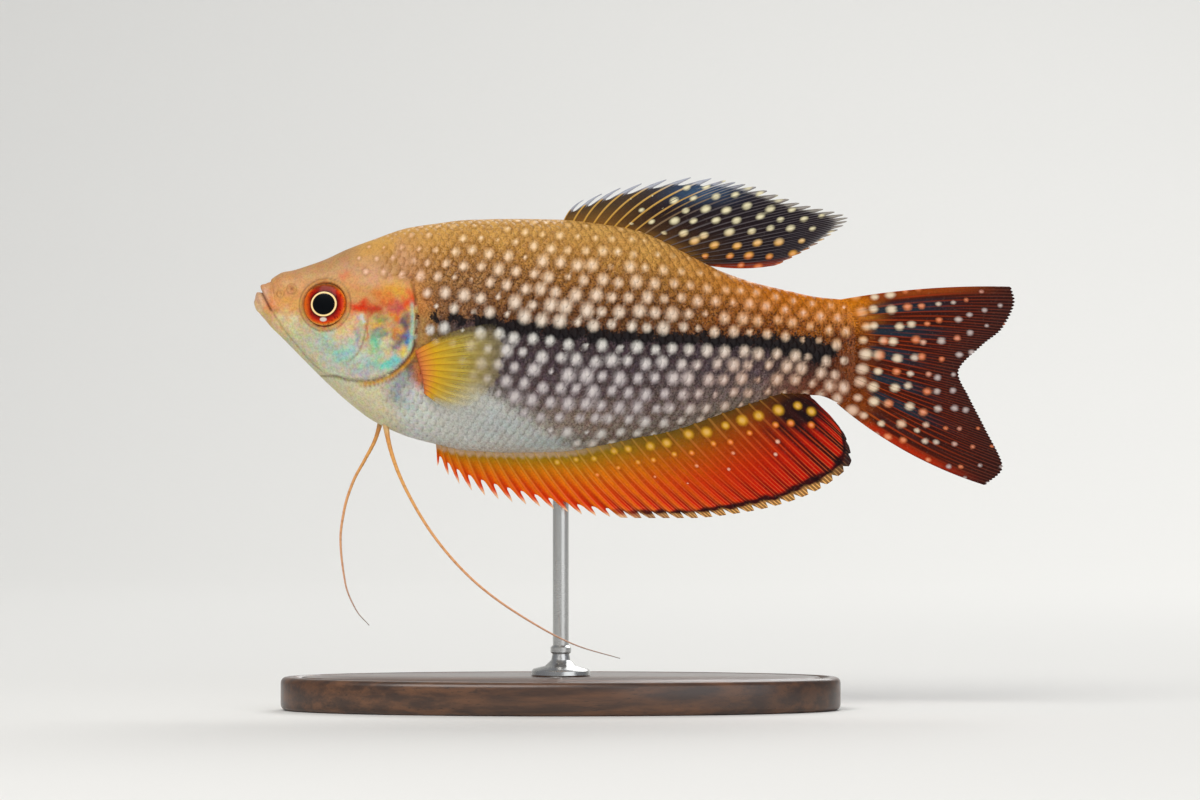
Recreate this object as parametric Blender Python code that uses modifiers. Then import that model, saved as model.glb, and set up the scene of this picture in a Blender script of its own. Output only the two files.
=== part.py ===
"""A pearl gourami at life size, held on a small display stand.

Sizes are in millimetres in the fish's own frame and become metres when a mesh is made. That frame
has x running backwards from the tip of the snout, y towards the fish's right side and z upwards
from the level of the snout. place() turns it into the model's frame, whose origin is on the
floor below the middle of the model's box.
"""

import math

import bmesh
import bpy
import numpy as np
from mathutils import Matrix, Vector

MM = 0.001
GAP = 0.3  # kept between neighbouring pieces

# Driving dimensions
SNOUT_TO_MIDDLE = 57.1  # half of the fish's whole length of 114.2
SNOUT_HEIGHT = 61.5  # of the snout's tip above the floor
BASE_THICKNESS = 5.0
BASE_HALF_LENGTH = 42.0
BASE_HALF_WIDTH = 19.0
BASE_EDGE = 1.2  # the rounding of the base's rim
ROD_RADIUS = 1.2
ROD_X = 46.0  # where the fish balances
ROD_Y = 2.75  # the rod passes behind the anal fin, not through it
FOOT_RADIUS = 4.5
# The rod's foot: share of its radius, height above the base
FOOT_PROFILE = ((0.36, 1.75), (0.86, 0.95), (1.0, 0.5), (1.0, 0.0))
ROD_FLARE = 3.0  # above the base, where the rod starts to widen into its foot
ROD_TOP = 12.0  # below the snout's level, where the uncut rod ends inside the body
ROD_SIDES = 20
FIN_THICKNESS = 0.5
RAY_THICKNESS = 0.95
RAY_TIP_THICKNESS = 0.4
ROOT_CLEAR = 0.4  # from the skin to the middle of a fin's root

# The body from the snout to the base of the tail: x, back, belly, half width
BODY = np.array(
    [
        (0.0, -0.3, -0.5, 0.0),
        (0.3, 0.5, -1.4, 0.75),
        (0.9, 0.95, -2.1, 1.25),
        (1.8, 2.1, -3.15, 1.75),
        (2.7, 3.15, -4.2, 2.15),
        (4.0, 3.8, -5.45, 2.65),
        (6.9, 4.75, -8.4, 3.5),
        (10.5, 6.0, -12.0, 4.5),
        (14.1, 7.65, -15.3, 5.3),
        (18.0, 9.1, -18.2, 5.95),
        (23.1, 10.8, -20.5, 6.5),
        (27.0, 11.4, -21.55, 6.8),
        (32.1, 12.0, -22.6, 6.9),
        (39.0, 12.15, -22.9, 6.7),
        (46.0, 12.05, -22.8, 6.3),
        (52.0, 11.4, -21.9, 5.75),
        (57.2, 10.5, -20.85, 5.2),
        (61.0, 9.0, -20.2, 4.75),
        (65.0, 6.9, -19.1, 4.2),
        (70.0, 4.35, -17.3, 3.55),
        (75.0, 2.6, -15.6, 2.95),
        (80.0, 1.4, -14.25, 2.35),
        (84.5, 0.45, -14.3, 1.8),
        (88.0, 0.1, -15.6, 1.2),
    ]
)
# Section shape at a few places: x, height of the widest level, roundness of back and of belly
SECTION = np.array(
    [
        (0.0, 0.45, 1.0, 1.0),
        (4.0, 0.5, 0.8, 1.0),
        (12.0, 0.5, 0.82, 1.1),
        (24.0, 0.48, 0.95, 0.95),
        (40.0, 0.47, 0.95, 0.95),
        (60.0, 0.5, 1.0, 1.2),
        (80.0, 0.5, 1.0, 1.15),
        (88.0, 0.5, 0.9, 0.9),
    ]
)
TAIL_BASE_X = 88.0
TAIL_BASE_BULGE = 3.1
TAIL_END_HALF_WIDTH = 0.8
RINGS = 60
RING_SIDES = 36
# How the rings are spread: share of the rings, x. They are closest at the mouth.
RING_SPREAD = np.array([(0.0, 0.0), (0.2, 3.3), (0.5, 26.0), (0.9, 86.0), (1.0, 91.1)])

# Head
MOUTH_TOP = np.array((1.35, 0.85))
MOUTH_CORNER = np.array((2.7, -1.65))
LIP_HEIGHT = 0.42
LIP_WIDTH = 0.45
LIP_OFFSET = 0.6  # of each lip's crest from the line of the mouth
MOUTH_DEPTH = 0.5
MOUTH_WIDTH = 0.32
SNOUT_BUMP = (4.3, 1.1, 0.22)  # x, half length, height
EYE = (10.85, -0.75)
EYE_RADIUS = 3.2
EYE_BULGE = 0.85
EYE_DEPTH = 1.9
EYE_SIDES, EYE_RINGS = 20, 10
ORBIT_RADIUS = 3.8
ORBIT_THICKNESS = 0.4
RIM_SIDES = 6  # round the tube of a rim
NOSTRIL = (5.8, 1.6)
NOSTRIL_RADIUS = 0.5
NOSTRIL_RIM = 0.2
GILL_COVER_STEP = 0.35
GILL_COVER_RAMP = 6.0
GILL_COVER_FALL = 1.6
# The cut between head and torso runs down the nape and round the free edge of the gill cover
GILL_EDGE = np.array(
    [
        (19.0, 16.0),
        (20.6, 10.0),
        (22.0, 5.0),
        (23.9, 2.2),
        (24.45, -2.8),
        (24.1, -7.0),
        (22.2, -9.7),
        (19.6, -11.4),
        (17.1, -12.0),
        (14.4, -11.8),
        (11.9, -11.2),
        (8.8, -11.3),
        (5.0, -12.5),
    ]
)
GILL_OPENING_TOP = 3.5  # above this level the cut only parts the nape
STALK_CUT_X = 81.5
CUT_REACH = 12.0  # of a cut to each side, past the widest flank

# Fins. A key ray has its place on the body, its tip's x and z, and how far it bows.
DORSAL = np.array(
    [
        (46.3, 49.4, 15.0, 0.5),
        (50.1, 56.7, 17.2, 0.8),
        (54.0, 66.0, 18.4, 1.0),
        (57.9, 73.6, 17.4, 0.9),
        (61.2, 81.9, 14.5, 0.6),
        (63.9, 89.1, 12.2, 0.2),
        (65.7, 85.2, 8.9, -0.3),
        (66.9, 78.6, 5.3, -0.6),
    ]
)
ANAL = np.array(
    [
        (27.3, 27.5, -24.9, 0.0),
        (29.2, 31.7, -28.1, -0.1),
        (32.4, 35.9, -29.7, -0.2),
        (37.7, 44.0, -31.2, -0.3),
        (42.8, 50.6, -32.3, -0.4),
        (48.2, 57.9, -32.7, -0.5),
        (54.2, 65.4, -32.7, -0.5),
        (60.9, 73.7, -31.8, -0.5),
        (67.7, 80.4, -30.2, -0.4),
        (73.7, 86.0, -27.6, -0.2),
        (77.7, 89.6, -24.0, 0.2),
        (79.9, 88.9, -20.9, 0.5),
        (81.2, 87.4, -18.6, 0.5),
        (82.2, 84.3, -15.9, 0.2),
    ]
)
CAUDAL_UPPER = np.array(
    [
        (-0.7, 113.1, 2.0, 0.9),
        (-1.9, 114.2, -0.2, 0.7),
        (-3.3, 112.4, -4.2, 0.4),
        (-5.2, 109.2, -6.9, 0.1),
        (-7.45, 105.8, -10.6, 0.0),
    ]
)
CAUDAL_LOWER = np.array(
    [
        (-7.9, 105.8, -11.05, 0.0),
        (-9.9, 107.3, -14.6, 0.0),
        (-11.6, 109.8, -19.5, -0.3),
        (-13.2, 112.2, -24.6, -0.8),
        (-14.8, 108.6, -27.7, -1.8),
    ]
)
TAIL_WAVE = (0.7, 0.6, 3.5)
TAIL_WAVE_ON = (0.7, 3.5, 6.2)
# Pectoral fin: place on the flank (x, z), tip's x and z seen from the side, and bow
PECTORAL = np.array(
    [
        (24.6, -7.6, 36.9, -3.6, 0.9),
        (25.0, -9.0, 37.9, -7.6, 0.5),
        (25.4, -10.4, 37.2, -11.4, 0.0),
        (25.8, -12.0, 34.6, -14.6, -0.5),
        (26.1, -13.8, 31.3, -16.6, -0.8),
    ]
)
PECTORAL_RAYS = 11
PECTORAL_STEPS = 7
PECTORAL_SPREAD = math.radians(30)
PECTORAL_CURL = 0.25  # how much of that spread is lost by the edge
PECTORAL_MEMBRANE = 0.96  # how far the membrane follows its rays

# The threads of the pelvic fins, each a way of (x, y, z) from root to tip
FEELER_LEFT = np.array(
    [
        (19.6, -0.9, -18.6),
        (20.2, -1.2, -21.1),
        (21.2, -1.9, -24.5),
        (22.8, -2.7, -28.2),
        (27.0, -3.9, -35.2),
        (33.2, -4.9, -42.1),
        (40.5, -5.6, -47.4),
        (48.5, -6.0, -51.6),
        (54.9, -6.1, -53.5),
    ]
)
FEELER_RIGHT = np.array(
    [
        (19.2, 0.9, -18.6),
        (18.2, 1.2, -20.8),
        (16.6, 1.9, -23.9),
        (14.8, 2.7, -27.2),
        (13.4, 3.5, -31.5),
        (12.8, 4.1, -36.0),
        (13.5, 4.6, -42.6),
        (15.2, 4.9, -46.8),
        (17.1, 5.0, -49.0),
    ]
)
FEELER_LENGTHS = 3  # each thread is parted into this many pieces
FEELER_POINTS = 13  # along each of them
FEELER_RADII = (0.5, 0.34, 0.27, 0.2)

COLOURS = {
    "flesh": (0.62, 0.47, 0.34, 1.0),
    "dark_fin": (0.10, 0.09, 0.11, 1.0),
    "red_fin": (0.62, 0.12, 0.03, 1.0),
    "tail_fin": (0.24, 0.08, 0.04, 1.0),
    "yellow_fin": (0.70, 0.48, 0.08, 1.0),
    "thread": (0.80, 0.48, 0.20, 1.0),
    "eye": (0.35, 0.03, 0.01, 1.0),
    "wood": (0.08, 0.05, 0.035, 1.0),
    "steel": (0.62, 0.62, 0.64, 1.0),
}
ROUGHNESS = {"steel": 0.3, "eye": 0.1, "wood": 0.45}


# Curves and small tools


def through(knots, values):
    """A smooth function through the values at the knots, with no overshoot between them."""
    knots = np.asarray(knots, float)
    values = np.asarray(values, float).reshape(len(knots), -1)
    step = np.diff(knots)[:, None]
    slope = np.diff(values, axis=0) / step
    middle = np.zeros_like(values)
    same_way = slope[:-1] * slope[1:] > 0
    safe = np.where(same_way, slope[:-1] + slope[1:], 1.0)
    middle[1:-1] = np.where(same_way, 2 * slope[:-1] * slope[1:] / safe, 0.0)
    middle[0], middle[-1] = slope[0], slope[-1]

    def value(at):
        at = np.clip(np.atleast_1d(np.asarray(at, float)), knots[0], knots[-1])
        i = np.clip(np.searchsorted(knots, at, side="right") - 1, 0, len(knots) - 2)
        h = step[i]
        t = (at[:, None] - knots[i][:, None]) / h
        a, b = values[i], values[i + 1]
        return (
            a * (2 * t**3 - 3 * t**2 + 1)
            + b * (3 * t**2 - 2 * t**3)
            + middle[i] * h * (t**3 - 2 * t**2 + t)
            + middle[i + 1] * h * (t**3 - t**2)
        )

    return value


def along(points, count):
    """Points spread evenly in length along the smooth curve through the given ones."""
    points = np.asarray(points, float)
    length = np.concatenate([[0], np.cumsum(np.linalg.norm(np.diff(points, axis=0), axis=1))])
    curve = through(length, points)
    fine = curve(np.linspace(0, length[-1], 400))
    walked = np.concatenate([[0], np.cumsum(np.linalg.norm(np.diff(fine, axis=0), axis=1))])
    wanted = np.linspace(0, walked[-1], count)
    return np.stack([np.interp(wanted, walked, fine[:, k]) for k in range(fine.shape[1])], axis=1)


def ramp(low, high, value):
    """0 below low, 1 above high, smooth between."""
    t = np.clip((value - low) / (high - low), 0, 1)
    return t * t * (3 - 2 * t)


def place(points):
    """Fish frame in millimetres to the model's frame in metres."""
    points = np.asarray(points, float)
    return (points + np.array((-SNOUT_TO_MIDDLE, 0.0, SNOUT_HEIGHT))) * MM


def material(name):
    found = bpy.data.materials.get(name)
    if found:
        return found
    made = bpy.data.materials.new(name)
    made.use_nodes = True
    shader = made.node_tree.nodes["Principled BSDF"]
    shader.inputs["Base Color"].default_value = COLOURS[name]
    shader.inputs["Roughness"].default_value = ROUGHNESS.get(name, 0.4)
    shader.inputs["Metallic"].default_value = 1.0 if name == "steel" else 0.0
    return made


def collection(name, hidden=False):
    made = bpy.data.collections.new(name)
    bpy.context.scene.collection.children.link(made)
    made.hide_render = hidden
    return made


def add_object(name, bm, group, finish=None):
    """Makes the bmesh an object in the group, with its normals pointing out."""
    bm.normal_update()
    bmesh.ops.recalc_face_normals(bm, faces=bm.faces)
    mesh = bpy.data.meshes.new(name)
    bm.to_mesh(mesh)
    bm.free()
    obj = bpy.data.objects.new(name, mesh)
    group.objects.link(obj)
    if finish:
        mesh.materials.append(material(finish))
    else:
        obj.hide_render = True
        obj.display_type = "WIRE"
    mesh.shade_smooth()
    return obj


def apply_modifiers(obj):
    """Bakes the object's modifiers into its mesh."""
    bpy.context.view_layer.update()
    evaluated = obj.evaluated_get(bpy.context.evaluated_depsgraph_get())
    mesh = bpy.data.meshes.new_from_object(evaluated)
    obj.modifiers.clear()
    obj.data = mesh
    return obj


def boolean(obj, other, operation):
    modifier = obj.modifiers.new("join", "BOOLEAN")
    modifier.operation = operation
    modifier.solver = "EXACT"
    modifier.object = other
    return apply_modifiers(obj)


# The body's own surface


def body_profile(x):
    """Back, belly, half width, widest level and the two roundnesses at each x."""
    table = through(BODY[:, 0], BODY[:, 1:])(x)
    shape = through(SECTION[:, 0], SECTION[:, 1:])(x)
    back, belly, half = table.T
    share = np.clip((x - TAIL_BASE_X) / TAIL_BASE_BULGE, 0, 1)
    middle, reach = (back + belly) / 2, (back - belly) / 2 * np.sqrt(1 - share**2)
    half = (half + (TAIL_END_HALF_WIDTH - half) * share) * np.sqrt(1 - share**4)
    back, belly = middle + reach, middle - reach
    return back, belly, half, belly + (back - belly) * shape[:, 0], shape[:, 1], shape[:, 2]


def body_surface(x, angle):
    """A point for each x and angle round the section, from 0 on the back to pi on the belly."""
    x = np.asarray(x, float)
    back, belly, half, widest, round_back, round_belly = body_profile(x)
    up = np.cos(angle)
    side = np.sin(angle)
    power = np.where(up > 0, round_back, round_belly)
    y = half * np.sign(side) * np.abs(side) ** power
    z = widest + np.where(up > 0, back - widest, widest - belly) * up
    return np.stack([x, y, z], axis=1)


def surface_normals(x, angle):
    step = 0.01
    forward = body_surface(x + step, angle) - body_surface(np.maximum(x - step, 0), angle)
    round_it = body_surface(x, angle + step) - body_surface(x, angle - step)
    normal = np.cross(forward, round_it)
    length = np.linalg.norm(normal, axis=1, keepdims=True)
    centre = np.array((0.0, 0.0, 0.0))
    return np.where(length > 1e-9, normal / np.maximum(length, 1e-9), centre)


GILL_LINE = along(GILL_EDGE, 90)


def behind_gill_edge(x, z):
    """Distance behind the free edge of the gill cover, below zero on the cover itself."""
    points = np.stack([x, z], axis=1)
    start, end = GILL_LINE[:-1], GILL_LINE[1:]
    way = end - start
    apart = points[:, None, :] - start[None]
    share = np.clip((apart * way).sum(2) / (way * way).sum(1), 0, 1)
    rest = apart - share[..., None] * way[None]
    distance = np.linalg.norm(rest, axis=2)
    nearest = distance.argmin(1)
    row = np.arange(len(points))
    cross = way[nearest, 0] * rest[row, nearest, 1] - way[nearest, 1] * rest[row, nearest, 0]
    return distance[row, nearest] * np.where(cross > 0, 1.0, -1.0)


def head_relief(x, z):
    """How far the lips, snout and gill cover stand out of the plain head."""
    way = (MOUTH_CORNER - MOUTH_TOP) / np.linalg.norm(MOUTH_CORNER - MOUTH_TOP)
    down = (x - MOUTH_TOP[0]) * way[0] + (z - MOUTH_TOP[1]) * way[1]
    ahead = (x - MOUTH_TOP[0]) * way[1] - (z - MOUTH_TOP[1]) * way[0]
    length = np.linalg.norm(MOUTH_CORNER - MOUTH_TOP)
    at_mouth = 1 - ramp(length - 0.3, length + 0.7, down)
    lips = LIP_HEIGHT * (
        np.exp(-(((ahead - LIP_OFFSET) / LIP_WIDTH) ** 2))
        + np.exp(-(((ahead + LIP_OFFSET) / LIP_WIDTH) ** 2))
    )
    line = -MOUTH_DEPTH * np.exp(-((ahead / MOUTH_WIDTH) ** 2))
    bump_x, bump_length, bump_height = SNOUT_BUMP
    bump = bump_height * np.exp(-(((x - bump_x) / bump_length) ** 2)) * ramp(0.5, 2.5, z)
    behind = behind_gill_edge(x, z)
    cover = GILL_COVER_STEP * ramp(-GILL_COVER_RAMP, -0.2, behind)
    cover = cover * (1 - ramp(0, GILL_COVER_FALL, behind))
    cover = cover * (1 - ramp(GILL_OPENING_TOP - 2, GILL_OPENING_TOP, z))
    return (lips + line) * at_mouth + bump + cover


def skin_point(x, z, side):
    """The point of the flank at this x and z, and the way out of the skin there."""
    back, belly, half, widest, round_back, round_belly = (v[0] for v in body_profile(np.array([x])))
    up = (z - widest) / (back - widest if z > widest else widest - belly)
    angle = np.array([math.acos(max(-1.0, min(1.0, up)))]) * side
    at = np.array([x])
    normal = surface_normals(at, angle)[0]
    point = body_surface(at, angle)[0]
    return point + normal * head_relief(point[:1], point[2:])[0], normal


def make_body(group):
    """Head, torso and tail stalk as one closed form, shaped from a sphere with its poles at the ends."""
    bm = bmesh.new()
    bmesh.ops.create_uvsphere(bm, u_segments=RING_SIDES, v_segments=RINGS, radius=1.0)
    ball = np.array([v.co[:] for v in bm.verts])
    ring = np.arccos(np.clip(ball[:, 2], -1, 1)) / math.pi
    x = through(RING_SPREAD[:, 0], RING_SPREAD[:, 1])(ring)[:, 0]
    angle = np.arctan2(ball[:, 1], ball[:, 0])
    skin = body_surface(x, angle)
    skin += surface_normals(x, angle) * head_relief(skin[:, 0], skin[:, 2])[:, None]
    for vertex, point in zip(bm.verts, place(skin)):
        vertex.co = point
    return add_object("body", bm, group, "flesh")


def slit(name, line, group):
    """A thin wall through the whole body along a line of (x, z), used to part it."""
    bm = bmesh.new()
    bmesh.ops.create_grid(bm, x_segments=len(line) - 1, y_segments=1, size=1.0)
    for vertex in bm.verts:
        column = round((vertex.co.x + 1) / 2 * (len(line) - 1))
        reach = CUT_REACH * (1 if vertex.co.y > 0 else -1)
        vertex.co = place((line[column][0], reach, line[column][1]))
    wall = add_object(name, bm, group)
    thick = wall.modifiers.new("thick", "SOLIDIFY")
    thick.thickness = GAP * MM
    thick.offset = 0.0
    return apply_modifiers(wall)


def eye_form(name, side, extra, group, finish=None):
    """A flattened ball set into the head along the skin's own normal, grown by extra."""
    centre, normal = skin_point(EYE[0], EYE[1], side)
    bm = bmesh.new()
    bmesh.ops.create_uvsphere(bm, u_segments=EYE_SIDES, v_segments=EYE_RINGS, radius=1.0)
    turn = Vector(normal).to_track_quat("Z", "Y").to_matrix()
    for vertex in bm.verts:
        depth = EYE_BULGE if vertex.co.z > 0 else EYE_DEPTH
        scaled = Vector(
            (
                vertex.co.x * (EYE_RADIUS + extra),
                vertex.co.y * (EYE_RADIUS + extra),
                vertex.co.z * (depth + extra),
            )
        )
        vertex.co = place(turn @ scaled + Vector(centre))
    return add_object(name, bm, group, finish)


def ring_form(name, spot, side, radius, thickness, sides, group):
    """A ring lying on the skin round a spot of the head, such as the rim of the eye."""
    centre, normal = skin_point(spot[0], spot[1], side)
    turn = Vector(normal).to_track_quat("Z", "Y").to_matrix().to_4x4()
    bpy.ops.mesh.primitive_torus_add(
        major_segments=sides,
        minor_segments=RIM_SIDES,
        major_radius=radius * MM,
        minor_radius=thickness * MM,
    )
    ring = bpy.context.object
    ring.data.transform(Matrix.Translation(place(centre)) @ turn)
    ring.location, ring.rotation_euler = (0, 0, 0), (0, 0, 0)
    ring.name = name
    for owner in list(ring.users_collection):
        owner.objects.unlink(ring)
    group.objects.link(ring)
    ring.hide_render = True
    return ring


def part_body(body, cutters):
    """Joins the rims to the head, hollows the eye sockets and parts the body in three."""
    rims = collection("rims", hidden=True)
    for side in (-1, 1):
        ring_form("orbit", EYE, side, ORBIT_RADIUS, ORBIT_THICKNESS, 26, rims)
        ring_form("nostril", NOSTRIL, side, NOSTRIL_RADIUS, NOSTRIL_RIM, 10, rims)
    join = body.modifiers.new("join", "BOOLEAN")
    join.operation = "UNION"
    join.operand_type = "COLLECTION"
    join.collection = rims
    join.solver = "EXACT"
    apply_modifiers(body)
    for rim in list(rims.objects):
        bpy.data.objects.remove(rim)
    for side in (-1, 1):
        boolean(body, eye_form("socket", side, GAP, cutters), "DIFFERENCE")
    boolean(body, slit("gill_slit", GILL_LINE, cutters), "DIFFERENCE")
    stalk_line = np.array([(STALK_CUT_X, 20.0), (STALK_CUT_X, -30.0)])
    boolean(body, slit("stalk_slit", stalk_line, cutters), "DIFFERENCE")
    bpy.ops.object.select_all(action="DESELECT")
    body.select_set(True)
    bpy.context.view_layer.objects.active = body
    bpy.ops.object.mode_set(mode="EDIT")
    bpy.ops.mesh.select_all(action="SELECT")
    bpy.ops.mesh.separate(type="LOOSE")
    bpy.ops.object.mode_set(mode="OBJECT")
    pieces = sorted(bpy.context.selected_objects, key=lambda o: -len(o.data.vertices))
    for scrap in pieces[3:]:
        bpy.data.objects.remove(scrap)
    pieces = sorted(pieces[:3], key=lambda o: sum(v.co.x for v in o.data.vertices) / len(o.data.vertices))
    for piece, name in zip(pieces, ("head", "torso", "tail_stalk")):
        piece.name = name
        piece.data.name = name


# Fins


def back_root(x):
    return np.stack([x, body_profile(x)[0] + ROOT_CLEAR], axis=1)


def belly_root(x):
    return np.stack([x, body_profile(x)[1] - ROOT_CLEAR], axis=1)


def tail_root(z):
    back, belly = (v[0] for v in body_profile(np.array([TAIL_BASE_X]))[:2])
    share = (z - (back + belly) / 2) / ((back - belly) / 2)
    bulge = TAIL_BASE_BULGE * np.sqrt(np.clip(1 - share**2, 0, 1))
    return np.stack([TAIL_BASE_X + bulge + GAP, z], axis=1)


def ray_point(root, tip, bow, far):
    """The point this share of the way along a ray that is bowed sideways in the plane of the fin."""
    way = tip - root
    across = np.array((-way[1], way[0])) / np.linalg.norm(way)
    return root + way * far + across * bow * 4 * far * (1 - far)


def fin(name, keys, root, spines, rays, reach, steps, wave, finish, group):
    """A fin whose rays are ridges in its own sheet and whose spines stand free of its edge.

    reach gives how far the membrane follows its rays, at the first spine, last spine and last ray.
    wave is how far the fin's edge sways to the sides, and where in a turn it starts and ends.
    """
    count = spines + rays
    columns = 2 * count - 1
    share = np.linspace(0, 1, columns)
    spread = through(np.linspace(0, 1, len(keys)), keys)(share)
    roots = root(spread[:, 0])
    tips, bows = spread[:, 1:3], spread[:, 3]
    last_spine = max(spines, 1) / count
    edge = through((0, last_spine, 1), reach)(share)[:, 0]
    bm = bmesh.new()
    bmesh.ops.create_grid(bm, x_segments=columns - 1, y_segments=steps, size=1.0)
    bmesh.ops.triangulate(bm, faces=bm.faces)
    weights = []
    for vertex in bm.verts:
        column = round((vertex.co.x + 1) / 2 * (columns - 1))
        row = round((vertex.co.y + 1) / 2 * steps)
        crest = column % 2 == 0
        far = row / steps * (1.0 if crest else edge[column])
        x, z = ray_point(roots[column], tips[column], bows[column], far)
        height, start, end = wave
        y = height * far**2 * math.sin(start + (end - start) * share[column])
        vertex.co = place((x, y, z))
        thin = RAY_THICKNESS + (RAY_TIP_THICKNESS - RAY_THICKNESS) * far
        weights.append((thin if crest else FIN_THICKNESS) / RAY_THICKNESS)
    obj = add_object(name, bm, group, finish)
    ridges = obj.vertex_groups.new(name="ridges")
    for index, weight in enumerate(weights):
        ridges.add([index], weight, "REPLACE")
    thick = obj.modifiers.new("thick", "SOLIDIFY")
    thick.thickness = RAY_THICKNESS * MM
    thick.offset = 0.0
    thick.vertex_group = "ridges"
    return obj


def pectoral_fin(name, side, group):
    """The fan behind the gill cover, standing out from the flank."""
    count = 2 * PECTORAL_RAYS - 1
    share = np.linspace(0, 1, count)
    spread = through(np.linspace(0, 1, len(PECTORAL)), PECTORAL)(share)
    bm = bmesh.new()
    bmesh.ops.create_grid(bm, x_segments=count - 1, y_segments=PECTORAL_STEPS, size=1.0)
    bmesh.ops.triangulate(bm, faces=bm.faces)
    weights = []
    for vertex in bm.verts:
        column = round((vertex.co.x + 1) / 2 * (count - 1))
        row = round((vertex.co.y + 1) / 2 * PECTORAL_STEPS)
        root_x, root_z, tip_x, tip_z, bow = spread[column]
        crest = column % 2 == 0
        far = row / PECTORAL_STEPS * (1.0 if crest else PECTORAL_MEMBRANE)
        skin, normal = skin_point(root_x, root_z, side)
        root = skin + normal * (GAP + RAY_THICKNESS / 2)
        x, z = ray_point(np.array((root_x, root_z)), np.array((tip_x, tip_z)), bow, far)
        length = math.dist((root_x, root_z), (x, z))
        out = length * math.tan(PECTORAL_SPREAD) * (1 - PECTORAL_CURL * far)
        vertex.co = place((x, root[1] + side * out, z))
        thin = RAY_THICKNESS + (RAY_TIP_THICKNESS - RAY_THICKNESS) * far
        weights.append((thin if crest else FIN_THICKNESS) / RAY_THICKNESS)
    obj = add_object(name, bm, group, "yellow_fin")
    ridges = obj.vertex_groups.new(name="ridges")
    for index, weight in enumerate(weights):
        ridges.add([index], weight, "REPLACE")
    thick = obj.modifiers.new("thick", "SOLIDIFY")
    thick.thickness = RAY_THICKNESS * MM
    thick.offset = 0.0
    thick.vertex_group = "ridges"
    return obj


def feeler(name, way, group):
    """One pelvic thread, tapering to its tip and parted into lengths end to end."""
    total = FEELER_LENGTHS * FEELER_POINTS
    way = way.copy()
    way[0, 2] = belly_root(way[:1, 0])[0, 1] - GAP
    points = along(way, total)
    radii = through(np.linspace(0, 1, len(FEELER_RADII)), FEELER_RADII)
    for number in range(FEELER_LENGTHS):
        own = points[number * FEELER_POINTS : (number + 1) * FEELER_POINTS].copy()
        if number < FEELER_LENGTHS - 1:
            following = points[(number + 1) * FEELER_POINTS]
            apart = following - own[-1]
            own[-1] = following - apart * GAP / np.linalg.norm(apart)
        curve = bpy.data.curves.new(f"{name}_{number + 1}", "CURVE")
        curve.dimensions = "3D"
        curve.bevel_depth = MM
        curve.bevel_resolution = 1
        curve.use_fill_caps = True
        spline = curve.splines.new("POLY")
        spline.points.add(len(own) - 1)
        for index, (knot, point) in enumerate(zip(spline.points, place(own))):
            knot.co = (*point, 1.0)
            knot.radius = radii((number * FEELER_POINTS + index) / (total - 1))[0, 0]
        obj = bpy.data.objects.new(curve.name, curve)
        curve.materials.append(material("thread"))
        group.objects.link(obj)


# Display stand


def stand_base(group):
    """An oval wooden plate with a rounded rim."""
    bpy.ops.mesh.primitive_cylinder_add(vertices=48, radius=1.0, depth=BASE_THICKNESS * MM)
    base = bpy.context.object
    base.name = "stand_base"
    base.data.transform(Matrix.Diagonal((BASE_HALF_LENGTH * MM, BASE_HALF_WIDTH * MM, 1.0, 1.0)))
    middle = place((ROD_X, 0.0, 0.0))[0]
    base.data.transform(Matrix.Translation((middle, 0.0, BASE_THICKNESS / 2 * MM)))
    base.location = (0, 0, 0)
    rounding = base.modifiers.new("rim", "BEVEL")
    rounding.width = BASE_EDGE * MM
    rounding.segments = 2
    rounding.limit_method = "ANGLE"
    base.data.materials.append(material("wood"))
    for owner in list(base.users_collection):
        owner.objects.unlink(base)
    group.objects.link(base)


def stand_rod(body_form, group):
    """A turned steel rod with a round foot, cut at its top to the shape of the flank above it."""
    low = (BASE_THICKNESS + GAP) * MM
    top = (SNOUT_HEIGHT - ROD_TOP) * MM
    bm = bmesh.new()
    profile = [(0.0, top), (ROD_RADIUS * MM, top), (ROD_RADIUS * MM, low + ROD_FLARE * MM)]
    profile += [(FOOT_RADIUS * across * MM, low + high * MM) for across, high in FOOT_PROFILE]
    profile += [(0.0, low)]
    corners = [bm.verts.new((x, 0.0, z)) for x, z in profile]
    for first, second in zip(corners, corners[1:]):
        bm.edges.new((first, second))
    bmesh.ops.spin(
        bm,
        geom=bm.verts[:] + bm.edges[:],
        cent=(0, 0, 0),
        axis=(0, 0, 1),
        angle=2 * math.pi,
        steps=ROD_SIDES,
        use_merge=True,
    )
    bmesh.ops.remove_doubles(bm, verts=bm.verts, dist=1e-6)
    foot = place((ROD_X, ROD_Y, 0.0))
    bmesh.ops.translate(bm, verts=bm.verts, vec=(foot[0], foot[1], 0.0))
    rod = add_object("stand_rod", bm, group, "steel")
    boolean(rod, body_form, "DIFFERENCE")


def grown_body(cutters):
    """The body fattened by the gap, to cut the rod's top clear of the flank."""
    body = make_body(cutters)
    body.name = "grown_body"
    body.hide_render = True
    body.display_type = "WIRE"
    grow = body.modifiers.new("grow", "DISPLACE")
    grow.strength = GAP * MM
    grow.mid_level = 0.0
    return apply_modifiers(body)


FINS = (
    ("dorsal_fin", DORSAL, back_root, 7, 12, (0.62, 0.86, 0.96), 6, (0.8, 0.6, 7.5), "dark_fin"),
    ("anal_fin", ANAL, belly_root, 12, 25, (0.7, 0.9, 0.97), 5, (0.5, 0.6, 7.5), "red_fin"),
    ("tail_fin_upper", CAUDAL_UPPER, tail_root, 0, 9, (0.98, 0.97, 0.96), 7, TAIL_WAVE, "tail_fin"),
    ("tail_fin_lower", CAUDAL_LOWER, tail_root, 0, 9, (0.96, 0.97, 0.98), 7, TAIL_WAVE_ON, "tail_fin"),
)


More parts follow.
